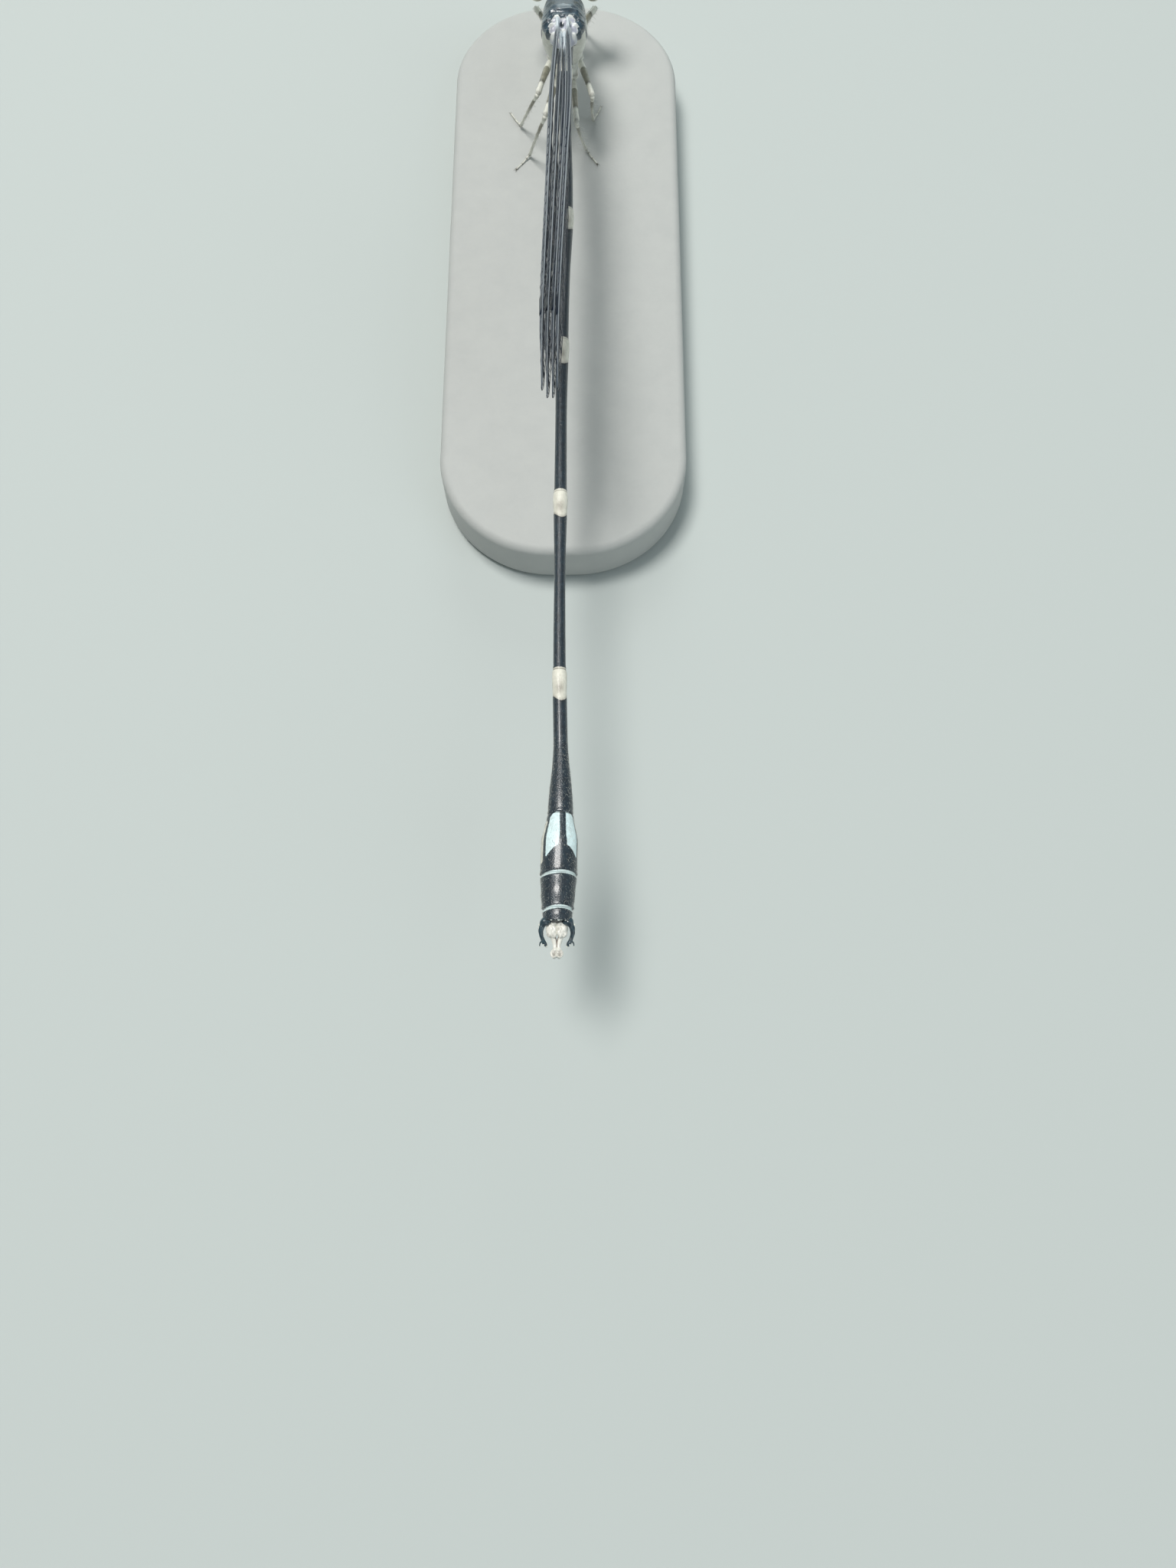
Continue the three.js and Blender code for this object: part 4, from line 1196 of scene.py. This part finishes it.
def make_setting():
    """Pale floor, soft overhead lights and an even pale surround."""
    floor = bpy.data.meshes.new("floor")
    corners = [(x * FLOOR_HALF, y * FLOOR_HALF, 0) for x, y in ((-1, -1), (1, -1), (1, 1), (-1, 1))]
    floor.from_pydata(corners, [], [(0, 1, 2, 3)])
    piece = in_scene("floor", floor)
    material, _, shader = new_material("floor_paper", Roughness=0.9)
    shader["Base Color"].default_value = (0.50, 0.54, 0.525, 1)
    floor.materials.append(material)

    world = bpy.data.worlds.new("studio")
    world.use_nodes = True
    surround = world.node_tree.nodes["Background"].inputs
    surround["Color"].default_value = (0.80, 0.90, 0.92, 1)
    surround["Strength"].default_value = 0.30
    bpy.context.scene.world = world
    bpy.context.scene.view_settings.view_transform = "Standard"
    for name, place, size, power, colour in LIGHTS:
        lamp = bpy.data.lights.new(name, "AREA")
        lamp.size, lamp.energy, lamp.color = size, power, colour
        holder = in_scene(name, lamp)
        holder.location = place
        aim = Vector(LIT_PLACE - place)
        holder.rotation_euler = aim.to_track_quat("-Z", "Y").to_euler()


CAMERA_PLACE = (1.2, 54.5, 45.0)  # in the animal's frame, millimetres
CAMERA_TILT = np.radians(18)  # forward from straight down
FOCAL_PIXELS, IMAGE_HEIGHT = 1541.0, 2048.0
SENSOR = 32.0


def make_camera():
    """The photograph's view, from above and behind the abdomen's end."""
    data = bpy.data.cameras.new("view")
    data.sensor_fit = "VERTICAL"
    data.sensor_height = SENSOR
    data.lens = SENSOR * FOCAL_PIXELS / IMAGE_HEIGHT
    data.clip_start, data.clip_end = 0.001, 20
    camera = in_scene("view", data)
    camera.location = to_row(CAMERA_PLACE)
    camera.rotation_euler = (CAMERA_TILT, 0, 0)
    bpy.context.scene.camera = camera


make_camera()
make_setting()
make_abdomen()
make_thorax()
make_head()
for leg_name, leg in LEGS.items():
    make_leg(leg_name, leg)
leg_bristles()
make_claspers()
for pair, wing_sizes in (("forewing", FOREWING), ("hindwing", HINDWING)):
    for label, side in SIDES:
        make_wing(f"{pair}_{label}", wing_sizes, side)
make_stand()
